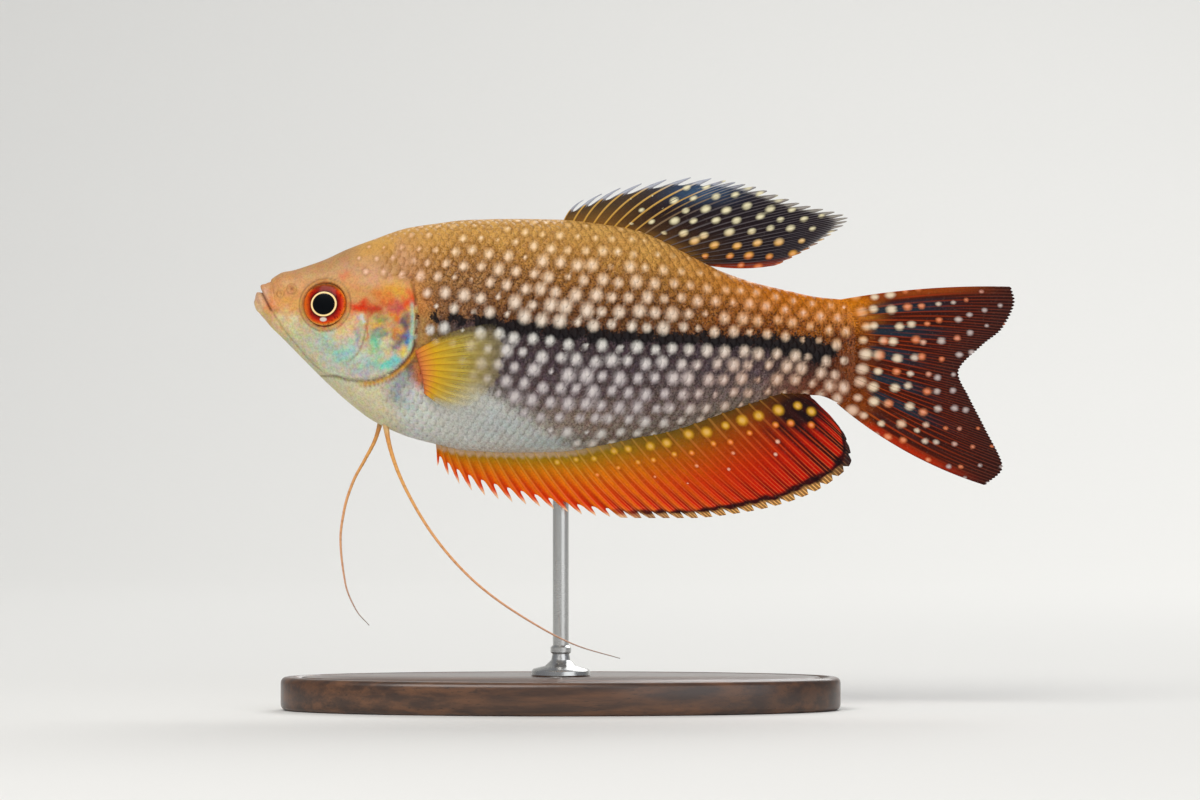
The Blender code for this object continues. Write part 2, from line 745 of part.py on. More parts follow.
def main():
    for old in list(bpy.data.objects):
        bpy.data.objects.remove(old)
    fish = collection("pearl_gourami")
    cutters = collection("cutters", hidden=True)
    part_body(make_body(fish), cutters)
    for name, side in (("left", -1), ("right", 1)):
        eye_form(f"eye_{name}", side, 0.0, fish, "eye")
        pectoral_fin(f"pectoral_fin_{name}", side, fish)
    for name, keys, root, spines, rays, reach, steps, wave, finish in FINS:
        fin(name, keys, root, spines, rays, reach, steps, wave, finish, fish)
    feeler("feeler_left", FEELER_LEFT, fish)
    feeler("feeler_right", FEELER_RIGHT, fish)
    stand_base(fish)
    stand_rod(grown_body(cutters), fish)


main()
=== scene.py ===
"""Dresses the solid model of a pearl gourami: skin, scales, eyes, fins, feelers, stand and stage.

Sizes are in millimetres in the fish's own frame, as the solids' are: x runs backwards from the tip of
the snout, y towards the fish's right side and z upwards. place() turns it into the model's metres.
"""

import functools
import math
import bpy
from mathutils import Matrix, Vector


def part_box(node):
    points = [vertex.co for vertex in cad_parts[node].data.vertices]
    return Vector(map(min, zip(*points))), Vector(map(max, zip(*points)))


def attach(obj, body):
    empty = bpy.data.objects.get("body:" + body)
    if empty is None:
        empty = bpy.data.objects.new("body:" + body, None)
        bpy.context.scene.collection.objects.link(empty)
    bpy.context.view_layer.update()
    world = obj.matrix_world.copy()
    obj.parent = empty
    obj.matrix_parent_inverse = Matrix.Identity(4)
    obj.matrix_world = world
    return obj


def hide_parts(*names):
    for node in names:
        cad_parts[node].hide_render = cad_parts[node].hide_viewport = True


bl_info = {
    "name": "Pearl Gourami",
    "version": (1, 0, 0),
    "blender": (4, 5, 0),
    "location": "3D View > Sidebar > Gourami",
    "description": "Builds the skin, scales, fins and stand of a pearl gourami over its solids",
    "category": "Object",
}

import types

import bmesh
import bpy
import numpy as np
from bpy.props import FloatProperty, FloatVectorProperty, IntProperty, PointerProperty
from mathutils import Matrix, Vector

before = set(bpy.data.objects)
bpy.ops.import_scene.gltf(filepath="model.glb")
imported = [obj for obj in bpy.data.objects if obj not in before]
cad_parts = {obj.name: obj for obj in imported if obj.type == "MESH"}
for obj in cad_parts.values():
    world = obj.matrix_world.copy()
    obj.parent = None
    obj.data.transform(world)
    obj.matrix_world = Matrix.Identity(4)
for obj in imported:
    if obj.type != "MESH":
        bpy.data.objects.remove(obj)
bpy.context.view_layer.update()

MM = 0.001
BODY_NODES = ("head", "torso", "tail_stalk")

# The snout's tip in the frame, its x read from the head's solid
SNOUT = np.array((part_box("head")[0].x / MM, 0.0, 61.5))


# Curves and small tools


def linear(hex_colour):
    """An sRGB hex colour as linear red, green, blue and alpha."""
    parts = [int(hex_colour[i : i + 2], 16) / 255 for i in (1, 3, 5)]
    return tuple(p / 12.92 if p <= 0.04045 else ((p + 0.055) / 1.055) ** 2.4 for p in parts) + (1.0,)


def through(knots, values):
    """A smooth function through the values at the knots, with no overshoot between them."""
    knots = np.asarray(knots, float)
    values = np.asarray(values, float).reshape(len(knots), -1)
    slope = np.diff(values, axis=0) / np.diff(knots)[:, None]
    same_way = slope[:-1] * slope[1:] > 0
    safe = np.where(same_way, slope[:-1] + slope[1:], 1.0)
    inner = np.where(same_way, 2 * slope[:-1] * slope[1:] / safe, 0.0)
    lean = np.concatenate([slope[:1], inner, slope[-1:]])

    def value(at):
        at = np.clip(np.atleast_1d(np.asarray(at, float)), knots[0], knots[-1])
        i = np.clip(np.searchsorted(knots, at, side="right") - 1, 0, len(knots) - 2)
        h = (knots[i + 1] - knots[i])[:, None]
        t = (at - knots[i])[:, None] / h
        first = values[i] * (2 * t**3 - 3 * t**2 + 1) + lean[i] * h * (t**3 - 2 * t**2 + t)
        return first + values[i + 1] * (3 * t**2 - 2 * t**3) + lean[i + 1] * h * (t**3 - t**2)

    return value


def curve_of(rows):
    """A smooth function of the rows' first column that gives their other columns."""
    rows = np.array(rows)
    return through(rows[:, 0], rows[:, 1:])


def walk(points):
    """Length along a line of points, at each of them."""
    return np.concatenate([[0], np.cumsum(np.linalg.norm(np.diff(points, axis=0), axis=1))])


def along(points, count):
    """Points spread evenly in length along the smooth curve through the given ones."""
    points = np.asarray(points, float)
    length = walk(points)
    fine = through(length, points)(np.linspace(0, length[-1], 400))
    walked = walk(fine)
    wanted = np.linspace(0, walked[-1], count)
    return np.stack([np.interp(wanted, walked, column) for column in fine.T], axis=1)


def ramp(low, high, value):
    """0 at low, 1 at high, smooth between. low may be above high."""
    t = np.clip((value - low) / (high - low), 0, 1)
    return t * t * (3 - 2 * t)


def bell(value, width):
    return np.exp(-((value / width) ** 2))


def spot(x, z, middle_x, middle_z, length, height):
    """A soft oval: 1 at its middle, and about a third at this half length and half height."""
    return np.exp(-(((x - middle_x) / length) ** 2) - ((z - middle_z) / height) ** 2)


def place(points):
    """Fish frame in millimetres to the model's frame in metres."""
    return (np.asarray(points, float) + SNOUT) * MM


def from_line(x, z, line, count=90):
    """Distance from a drawn line of (x, z), above zero on its left as it runs, and the share along it."""
    line = along(line, count)
    points = np.stack([x, z], axis=1)
    start, way = line[:-1], np.diff(line, axis=0)
    signed, share = np.empty((2, len(points)))
    for part in np.array_split(np.arange(len(points)), len(points) // 20000 + 1):
        apart = points[part, None] - start
        t = np.clip((apart * way).sum(2) / (way * way).sum(1), 0, 1)
        rest = apart - t[..., None] * way
        distance = np.linalg.norm(rest, axis=2)
        near = distance.argmin(1)
        row = np.arange(len(part))
        cross = way[near, 0] * rest[row, near, 1] - way[near, 1] * rest[row, near, 0]
        signed[part] = distance[row, near] * np.where(cross > 0, 1.0, -1.0)
        share[part] = (near + t[row, near]) / (count - 1)
    return signed, share


def wobble(x, z, size, seed):
    """Soft noise between about -1 and 1 whose lumps are about this many millimetres across."""
    rng = np.random.default_rng(seed)
    total = np.zeros(len(x))
    for _ in range(7):
        turn = rng.uniform(0, 2 * math.pi)
        pace = rng.uniform(0.7, 1.5) * 2 * math.pi / (size * 2)
        total += np.sin((x * math.cos(turn) + z * math.sin(turn)) * pace + rng.uniform(0, 6.3))
    return total / 2.6


# The fish's forms, the same as its solids'

# x, back, belly, half width
BODY = curve_of((
    (0.0, -0.3, -0.5, 0.0), (0.3, 0.5, -1.4, 0.75), (0.9, 0.95, -2.1, 1.25), (1.8, 2.1, -3.15, 1.75),
    (2.7, 3.15, -4.2, 2.15), (4.0, 3.8, -5.45, 2.65), (6.9, 4.75, -8.4, 3.5), (10.5, 6.0, -12.0, 4.5),
    (14.1, 7.65, -15.3, 5.3), (18.0, 9.1, -18.2, 5.95), (23.1, 10.8, -20.5, 6.5), (27.0, 11.4, -21.55, 6.8),
    (32.1, 12.0, -22.6, 6.9), (39.0, 12.15, -22.9, 6.7), (46.0, 12.05, -22.8, 6.3), (52.0, 11.4, -21.9, 5.75),
    (57.2, 10.5, -20.85, 5.2), (61.0, 9.0, -20.2, 4.75), (65.0, 6.9, -19.1, 4.2), (70.0, 4.35, -17.3, 3.55),
    (75.0, 2.6, -15.6, 2.95), (80.0, 1.4, -14.25, 2.35), (84.5, 0.45, -14.3, 1.8), (88.0, 0.1, -15.6, 1.2),
))
# x, height of the widest level, roundness of back and of belly
SECTION = curve_of((
    (0.0, 0.45, 1.0, 1.0), (4.0, 0.5, 0.8, 1.0), (12.0, 0.5, 0.82, 1.1), (24.0, 0.48, 0.95, 0.95),
    (40.0, 0.47, 0.95, 0.95), (60.0, 0.5, 1.0, 1.2), (80.0, 0.5, 1.0, 1.15), (88.0, 0.5, 0.9, 0.9),
))
TAIL_BASE_X = 88.0
TAIL_BASE_BULGE = 3.1
TAIL_END_HALF_WIDTH = 0.3
BODY_END = TAIL_BASE_X + TAIL_BASE_BULGE

MOUTH_TOP = np.array((1.35, 0.85))
MOUTH_CORNER = np.array((2.7, -1.65))
LIP_OFFSET = 0.6
SNOUT_BUMP_X, SNOUT_BUMP_LENGTH, SNOUT_BUMP_HEIGHT = 4.3, 1.1, 0.22
# x, z, radius, height of the rim, darkness of the painted shade in the hole
NOSTRILS = ((5.8, 1.6, 0.55, 0.16, 0.75), (4.1, 0.9, 0.4, 0.08, 0.4))
EYE = (10.85, -0.75)
EYE_RADIUS = 3.2
EYE_BULGE = 0.85
EYE_DEPTH = 1.9
EYE_RIM = 3.5
FAR_FROM_EYE = 99.0
GILL_EDGE = (
    (19.0, 16.0), (20.6, 10.0), (22.0, 5.0), (23.9, 2.2), (24.45, -2.8), (24.1, -7.0), (22.2, -9.7),
    (19.6, -11.4), (17.1, -12.0), (14.4, -11.8), (11.9, -11.2), (8.8, -11.3), (5.0, -12.5),
)
GILL_OPENING_TOP = 3.5
GILL_FOLDS = (0.9, 1.55, 2.2)  # behind the cover's edge, under the throat
LIP_LINE = ((2.5, 2.7), (2.75, 1.5), (3.0, 0.3), (3.05, -1.1))
CHEEK_LINE = ((17.4, -2.6), (17.0, -4.5), (16.6, -6.2), (16.0, -7.8), (14.8, -9.0), (13.6, -9.6))
JAW_LINE = ((2.7, -1.65), (4.0, -3.7), (6.2, -6.5), (9.0, -9.6), (11.2, -11.4))

# Each key ray: its place on the body, its tip's x and z, and how far it bows
DORSAL = (
    (46.3, 49.4, 15.0, 0.5), (50.1, 56.7, 17.2, 0.8), (54.0, 66.0, 18.4, 1.0), (57.9, 73.6, 17.4, 0.9),
    (61.2, 81.9, 14.5, 0.6), (63.9, 89.1, 12.2, 0.2), (65.7, 85.2, 8.9, -0.3), (66.9, 78.6, 5.3, -0.6),
)
ANAL = (
    (27.3, 27.5, -24.9, 0.0), (29.2, 31.7, -28.1, -0.1), (32.4, 35.9, -29.7, -0.2), (37.7, 44.0, -31.2, -0.3),
    (42.8, 50.6, -32.3, -0.4), (48.2, 57.9, -32.7, -0.5), (54.2, 65.4, -32.7, -0.5),
    (60.9, 73.7, -31.8, -0.5), (67.7, 80.4, -30.2, -0.4), (73.7, 86.0, -27.6, -0.2),
    (77.7, 89.6, -24.0, 0.2), (79.9, 88.9, -20.9, 0.5), (81.2, 87.4, -18.6, 0.5), (82.2, 84.3, -15.9, 0.2),
)
CAUDAL = (
    (-0.02, 113.6, 2.0, 0.7), (-1.9, 114.2, -0.2, 0.7), (-3.3, 112.4, -4.2, 0.4), (-5.2, 109.2, -6.9, 0.1),
    (-7.65, 105.7, -10.9, 0.0), (-9.9, 107.3, -14.6, 0.0), (-11.6, 109.8, -19.5, -0.3),
    (-13.4, 112.3, -25.0, -0.8), (-15.5, 109.7, -27.8, -1.3),
)
# Root's x and z, tip's x and z, and the bow
PECTORAL = (
    (24.6, -7.6, 36.9, -3.6, 0.9), (25.0, -9.0, 37.9, -7.6, 0.5), (25.4, -10.4, 37.2, -11.4, 0.0),
    (25.8, -12.0, 34.6, -14.6, -0.5), (26.1, -13.8, 31.3, -16.6, -0.8),
)
PECTORAL_RAYS = 11
PECTORAL_SPREAD = math.radians(30)
FEELERS = {
    "left": ((19.6, -0.9, -18.6), (20.2, -1.2, -21.1), (21.2, -1.9, -24.5), (22.8, -2.7, -28.2),
             (27.0, -3.9, -35.2), (33.2, -4.9, -42.1), (40.5, -5.6, -47.4), (48.5, -6.0, -51.6),
             (54.9, -6.1, -53.5)),
    "right": ((19.2, 0.9, -18.6), (18.2, 1.2, -20.8), (16.6, 1.9, -23.9), (14.8, 2.7, -27.2),
              (13.4, 3.5, -31.5), (12.8, 4.1, -36.0), (13.5, 4.6, -42.6), (15.2, 4.9, -46.8),
              (17.1, 5.0, -49.0)),
}
FEELER_ROOT_DEPTH = 1.5
FEELER_POINTS = 120
FEELER_RADII = through(np.linspace(0, 1, 5), (0.36, 0.24, 0.2, 0.15, 0.06))
FIN_ROOT_DEPTH = 0.5
TAIL_FIN_ROOT_DEPTH = 1.1
ROD_X, ROD_Y = 46.0, 2.75

# x, then the dark stripe's middle and half its width, from the gill cover to the tail spot
STRIPE = curve_of((
    (0.0, -1.0, 0.0), (24.0, -2.4, 0.0), (27.0, -2.7, 0.7), (31.0, -3.0, 0.95), (36.9, -3.75, 1.0),
    (45.9, -4.95, 1.1), (54.9, -5.55, 0.95), (66.9, -6.0, 0.95), (76.0, -6.45, 1.15), (80.5, -6.9, 1.7),
    (84.4, -7.5, 1.9), (86.8, -7.8, 1.0), (88.2, -8.0, 0.0), (120.0, -9.0, 0.0),
))
PEARL_STEP = 2.6  # from pearl to pearl along a row
PEARL_ROW = 2.25  # from row to row
PEARL_CLEAR = 0.45  # how much further the first rows stand from the stripe's middle
GILL_CLEAR = 0.9  # how far behind the gill cover's edge the pearls and scales begin
PEARL_REACH = 3.0  # how far out a pearl's share is measured, in its own radii
NO_STRIPE = -9.0
NO_PEARL = 9.0
SIDES = (("left", -1, 11), ("right", 1, 30))  # name, the way along y, and the seed of its pattern


# The body's surface


def body_profile(x):
    """Back, belly, half width, widest level and the two roundnesses at each x."""
    back, belly, half = BODY(x).T
    level, round_back, round_belly = SECTION(x).T
    share = np.clip((x - TAIL_BASE_X) / TAIL_BASE_BULGE, 0, 1)
    middle, reach = (back + belly) / 2, (back - belly) / 2 * np.sqrt(1 - share**2)
    half = (half + (TAIL_END_HALF_WIDTH - half) * share) * np.sqrt(1 - share**4)
    back, belly = middle + reach, middle - reach
    return back, belly, half, belly + (back - belly) * level, round_back, round_belly


def body_surface(x, angle):
    """A point for each x and angle round the section, from 0 on the back to pi on the belly."""
    x = np.asarray(x, float)
    back, belly, half, widest, round_back, round_belly = body_profile(x)
    up, side = np.cos(angle), np.sin(angle)
    y = half * np.sign(side) * np.abs(side) ** np.where(up > 0, round_back, round_belly)
    z = widest + np.where(up > 0, back - widest, widest - belly) * up
    return np.stack([x, y, z], axis=1)


def surface_normals(x, angle):
    step = 0.01
    ahead = body_surface(np.minimum(x + step, BODY_END), angle)
    forward = ahead - body_surface(np.maximum(x - step, 0), angle)
    round_it = body_surface(x, angle + step) - body_surface(x, angle - step)
    normal = np.cross(forward, round_it)
    length = np.linalg.norm(normal, axis=1, keepdims=True)
    return np.where(length > 1e-9, normal / np.maximum(length, 1e-9), 0.0)


def skin_angle(x, z):
    """The angle round the section at which the flank has this height."""
    back, belly, _, widest, _, _ = body_profile(x)
    up = (z - widest) / np.where(z > widest, back - widest, widest - belly)
    return np.arccos(np.clip(up, -1, 1))


def row_angle(x, distance):
    """The angle at this distance along the skin above the stripe, and whether the section reaches it."""
    turn = np.linspace(0, math.pi, 121)
    stripe = skin_angle(x, STRIPE(x)[:, 0])
    points = body_surface(np.repeat(x, len(turn)), np.tile(turn, len(x))).reshape(len(x), len(turn), 3)
    angle, reached = np.empty(len(x)), np.empty(len(x), bool)
    for i, section in enumerate(points):
        walked = walk(section)
        wanted = np.interp(stripe[i], turn, walked) - distance[i]
        reached[i] = 0.1 < wanted < walked[-1] - 0.1
        angle[i] = np.interp(wanted, walked, turn)
    return angle, reached


def eye_seat(side):
    """Centre of the eye on the plain flank, the way out, the way back and the way up."""
    x = np.array([EYE[0]])
    angle = skin_angle(x, np.array([EYE[1]])) * side
    normal = surface_normals(x, angle)[0]
    back = np.array((1.0, 0.0, 0.0)) - normal[0] * normal
    back /= np.linalg.norm(back)
    up = np.array((0.0, 0.0, 1.0)) - normal[2] * normal
    up -= (up @ back) * back
    return body_surface(x, angle)[0], normal, back, up / np.linalg.norm(up)


def eye_distance(points):
    """How far each point is from the nearer eye's axis."""
    nearest = np.full(len(points), FAR_FROM_EYE)
    for side in (-1, 1):
        centre, normal, _, _ = eye_seat(side)
        apart = points - centre
        flat = np.linalg.norm(apart - (apart @ normal)[:, None] * normal, axis=1)
        nearest = np.minimum(nearest, np.where(points[:, 1] * side > 0, flat, FAR_FROM_EYE))
    return nearest


def from_mouth(x, z):
    """How far each point is ahead of the mouth's line, and how far down along it."""
    way = (MOUTH_CORNER - MOUTH_TOP) / np.linalg.norm(MOUTH_CORNER - MOUTH_TOP)
    x, z = x - MOUTH_TOP[0], z - MOUTH_TOP[1]
    return x * way[1] - z * way[0], x * way[0] + z * way[1]


def head_relief(points):
    """How far the skin stands out of the plain form: lips, nostrils, eye rim, cheek and gill cover."""
    x, z = points[:, 0], points[:, 2]
    ahead, down = from_mouth(x, z)
    length = np.linalg.norm(MOUTH_CORNER - MOUTH_TOP)
    lips = 0.42 * (bell(ahead - LIP_OFFSET, 0.42) + bell(ahead + LIP_OFFSET, 0.42))
    out = (lips - 0.34 * bell(ahead, 0.17)) * (1 - ramp(length - 0.3, length + 0.7, down))
    lip, share = from_line(x, z, LIP_LINE)
    out -= (0.16 + 0.18 * ramp(0.8, 2.2, z)) * bell(lip, 0.24) * ramp(1.0, 0.75, share)
    out += 0.28 * bell(np.hypot(x - 1.7, z - 1.95), 0.75)
    out += SNOUT_BUMP_HEIGHT * bell(x - SNOUT_BUMP_X, SNOUT_BUMP_LENGTH) * ramp(0.5, 2.5, z)
    for hole_x, hole_z, size, rise, _ in NOSTRILS:
        r = np.hypot(x - hole_x, z - hole_z)
        out += rise * bell(r - size, 0.15) - rise * 1.3 * bell(r, size * 0.6)
    plate = np.hypot(x - 4.95, z + 0.45)
    out += 0.07 * bell(plate - 1.4, 0.12) * ramp(0.6, -0.6, z) * ramp(1.2, 2.2, x)
    jaw, share = from_line(x, z, JAW_LINE)
    out -= 0.14 * bell(jaw, 0.16) * ramp(0, 0.08, share) * ramp(1.0, 0.7, share)
    cheek, share = from_line(x, z, CHEEK_LINE)
    within = ramp(0, 0.1, share) * ramp(1.0, 0.8, share)
    out += (0.1 * ramp(0.1, 0.5, cheek) * bell(cheek - 0.4, 0.8) - 0.2 * bell(cheek, 0.14)) * within
    behind = from_line(x, z, GILL_EDGE)[0]
    low = 1 - ramp(GILL_OPENING_TOP - 2, GILL_OPENING_TOP, z)
    low = low * ramp(0.1, 2.2, z - body_profile(x)[1])
    out += 0.38 * ramp(-6.0, -0.25, behind) * (1 - ramp(-0.12, 0.12, behind)) * low
    out -= 0.14 * bell(behind - 0.25, 0.22) * low
    for fold in GILL_FOLDS:
        out += 0.07 * bell(behind - fold, 0.17) * ramp(19.5, 16.0, x) * low
    r = eye_distance(points)
    out += 0.24 * bell(r - EYE_RIM, 0.2) + 0.09 * bell(r - 4.3, 0.28) * ramp(0.5, -1.5, z)
    return np.where(r < 3.3, out * ramp(3.0, 3.3, r) - 1.5 * ramp(3.22, 2.9, r), out)


def skin_at(x, angle, lift=0.0):
    """Points of the finished skin, raised along its normals by lift."""
    plain = body_surface(x, angle)
    return plain + surface_normals(x, angle) * (head_relief(plain) + lift)[:, None]


# Colours of the skin, as fields over the flank

# Soft patches on the head: x, z, half length, half height, strength, colour
HEAD_PATCHES = (
    (1.2, 0.2, 1.6, 1.6, 0.8, "#dcb49a"), (2.4, -0.7, 0.8, 1.4, 0.75, "#e0783c"),
    (0.9, -1.6, 1.2, 1.0, 0.7, "#f0d49c"), (2.6, -3.4, 1.6, 1.4, 0.6, "#eecb90"),
    (4.6, 1.2, 2.6, 2.2, 0.6, "#dca067"), (5.6, -0.8, 2.3, 1.5, 0.7, "#e3a256"),
    (5.0, -3.2, 2.0, 1.5, 0.8, "#e6dcae"), (8.0, -4.8, 2.4, 1.7, 0.8, "#d2cca2"),
    (10.8, -5.8, 2.4, 1.4, 0.7, "#b6cfc0"), (11.5, -7.6, 2.4, 1.6, 0.6, "#a9bdb4"),
    (13.6, -8.3, 1.9, 1.2, 0.7, "#83c6c4"), (13.9, -5.2, 1.5, 1.6, 0.7, "#e9c795"),
    (12.8, -3.6, 1.3, 0.9, 0.5, "#e4b070"), (14.6, -6.9, 0.9, 1.1, 0.6, "#86cbd0"),
    (15.6, -3.1, 0.9, 1.0, 0.6, "#e9c49c"), (16.2, -1.1, 2.6, 0.85, 1.0, "#dc3404"),
    (18.3, -1.7, 1.1, 0.9, 0.85, "#b8240c"), (14.6, 2.6, 1.6, 1.1, 0.5, "#e3a35c"),
    (13.9, 3.6, 1.0, 0.7, 0.6, "#e06a34"), (17.9, 3.9, 2.3, 2.0, 0.45, "#d9a27c"),
    (19.3, 0.7, 1.3, 0.9, 0.8, "#e07c2c"), (21.5, 1.6, 1.9, 1.5, 0.95, "#e0a236"),
    (20.6, -0.3, 1.1, 0.8, 0.8, "#d9541c"), (21.9, -1.3, 1.6, 0.9, 0.85, "#c23c4c"),
    (23.6, -0.2, 0.8, 1.7, 0.9, "#e0480f"), (23.9, -1.9, 0.5, 0.6, 0.8, "#ecc63c"),
    (22.9, -3.6, 1.3, 1.2, 0.9, "#50405e"), (21.3, -2.6, 0.8, 0.6, 0.9, "#ea8a24"),
    (19.3, -3.0, 1.2, 0.8, 0.6, "#6c8a52"), (18.7, -3.9, 0.6, 0.55, 0.9, "#e6b63c"),
    (19.2, -5.0, 1.2, 0.9, 0.7, "#56687c"), (22.4, -5.8, 1.5, 1.2, 0.85, "#463e60"),
    (21.7, -5.1, 0.75, 0.75, 0.95, "#da9440"), (23.4, -6.2, 0.6, 1.2, 0.9, "#2f72bc"),
    (21.0, -7.1, 1.2, 0.7, 0.7, "#6a6480"), (18.4, -6.6, 1.1, 1.5, 0.85, "#6cc49c"),
    (20.0, -6.4, 0.7, 0.8, 0.6, "#e6d6a6"), (19.7, -9.8, 1.5, 0.8, 0.95, "#46d2b8"),
    (21.4, -8.9, 1.2, 0.8, 0.8, "#5cc2d2"), (22.6, -7.8, 0.9, 0.55, 0.85, "#e9c45a"),
    (20.3, -8.0, 0.9, 0.7, 0.6, "#e2c27c"), (17.6, -9.6, 1.4, 1.0, 0.7, "#9ac9c0"),
    (16.3, -10.9, 2.0, 0.8, 0.7, "#b4aebe"), (16.4, -3.0, 0.5, 0.5, 0.95, "#d2d4dc"),
    (15.9, -5.4, 0.4, 2.2, 0.6, "#8b96ac"), (17.1, -4.9, 0.3, 1.4, 0.6, "#cc5820"),
    (16.3, -8.6, 0.7, 0.6, 0.6, "#b8dcd8"), (8.7, -8.9, 2.5, 1.0, 0.5, "#d9caa0"),
    (3.6, -5.0, 1.4, 1.2, 0.6, "#eccc86"), (6.6, -8.2, 1.5, 1.2, 0.55, "#e6cc8c"),
    (9.6, -11.0, 1.7, 1.1, 0.5, "#ddcf98"),
)
BODY_PATCHES = (
    (21.0, -14.0, 2.0, 1.8, 0.75, "#6d6c8a"), (22.0, -12.6, 1.2, 1.4, 0.5, "#8f9aa6"),
    (23.2, -15.6, 1.8, 1.0, 0.5, "#a0bcb6"), (25.2, -11.0, 0.9, 2.6, 0.95, "#d9703c"),
    (24.9, -8.2, 0.8, 1.0, 0.8, "#b46a20"), (27.6, -8.4, 2.8, 3.2, 0.75, "#b49a3a"),
    (31.5, -9.0, 3.4, 3.4, 0.5, "#a39562"), (26.0, -4.6, 1.6, 3.6, 0.8, "#cc9a50"),
    (25.8, -0.4, 1.6, 2.0, 0.75, "#d08038"), (26.4, 2.8, 2.4, 1.8, 0.5, "#d4a058"),
    (19.4, -16.9, 1.2, 1.0, 0.5, "#c99a5a"), (45.0, -21.3, 5.0, 1.0, 0.45, "#86aeb4"),
    (19.0, 5.2, 5.5, 3.6, 0.75, "#d8a482"), (24.4, 1.8, 2.0, 2.6, 0.8, "#d8964c"),
    (31.0, -0.2, 4.5, 2.6, 0.5, "#b8865a"), (39.0, -18.6, 6.0, 2.4, 0.45, "#a9b9bf"),
    (34.0, 2.4, 6.0, 3.4, 0.5, "#bc8e5a"), (48.0, -18.2, 7.0, 2.6, 0.6, "#b6a899"),
    (86.0, -2.8, 4.0, 1.6, 0.55, "#e08c30"), (22.9, 3.3, 0.9, 0.35, 0.8, "#b83818"),
)
# Colours by height: share from the stripe to the back, then from the stripe to the belly
UPPER = {0: "#744828", 0.25: "#96622a", 0.5: "#ba823c", 0.75: "#d09a4a", 1: "#dcaa5c"}
LOWER = {0: "#483a42", 0.25: "#564850", 0.5: "#6a5c60", 0.75: "#8a7c78", 1: "#969084"}
UPPER_REAR = {0: "#7e4410", 0.4: "#b0640a", 1: "#dc8010"}
LOWER_REAR = {0: "#2e1a18", 0.5: "#542a1a", 1: "#984208"}
HEAD_BY_HEIGHT = {-13: "#e2dcb4", -9: "#c9cdb4", -5.5: "#cfcaa2", -2.5: "#dcae70", 1: "#d69c5c",
                  4: "#c99a68", 9: "#b88e5c"}
PALE_BELLY = "#dadfd8"
THROAT = "#ddd8b4"
PEARL_UPPER = {0: "#dccebc", 0.3: "#e4c4a6", 0.6: "#eac296", 0.85: "#ecc080", 1: "#e6b46a"}
PEARL_LOWER = {0: "#dad8ce", 0.3: "#c8bebd", 0.7: "#b8acae", 1: "#dcdad0"}
PEARL_REAR = {-1: "#d8a884", 0: "#dcc0a4", 0.5: "#dc9c5a", 1: "#d87e20"}


def by_share(table, share):
    """Colours blended along a table of shares and hex colours."""
    colours = np.array([linear(colour)[:3] for colour in table.values()])
    return np.stack([np.interp(share, list(table), column) for column in colours.T], axis=1)


def laid(ground, *layers):
    """Colours with layers laid over them in turn, each a colour or colours and how much of it covers."""
    ground = np.array(linear(ground)[:3]) if isinstance(ground, str) else ground
    for colour, amount in layers:
        colour = np.array(linear(colour)[:3]) if isinstance(colour, str) else colour
        ground = ground + (colour - ground) * amount[:, None]
    return ground


def add_patches(colours, x, z, patches, within):
    for patch_x, patch_z, length, height, strength, colour in patches:
        near = np.exp(-(np.abs((x - patch_x) / length) ** 2.6) - np.abs((z - patch_z) / height) ** 2.6)
        colours = laid(colours, (colour, near * strength * within))
    return colours


def under_waist(x, z):
    """How far below the upper limit of the pale belly each point is."""
    return -11.5 - 0.62 * np.maximum(x - 33.0, 0) - z


def from_stripe(x, z):
    """Height above the stripe's middle, and the share of the way up to the back and down to the belly."""
    back, belly = body_profile(x)[:2]
    middle = STRIPE(x)[:, 0]
    return z - middle, (z - middle) / (back - middle), (middle - z) / (middle - belly)


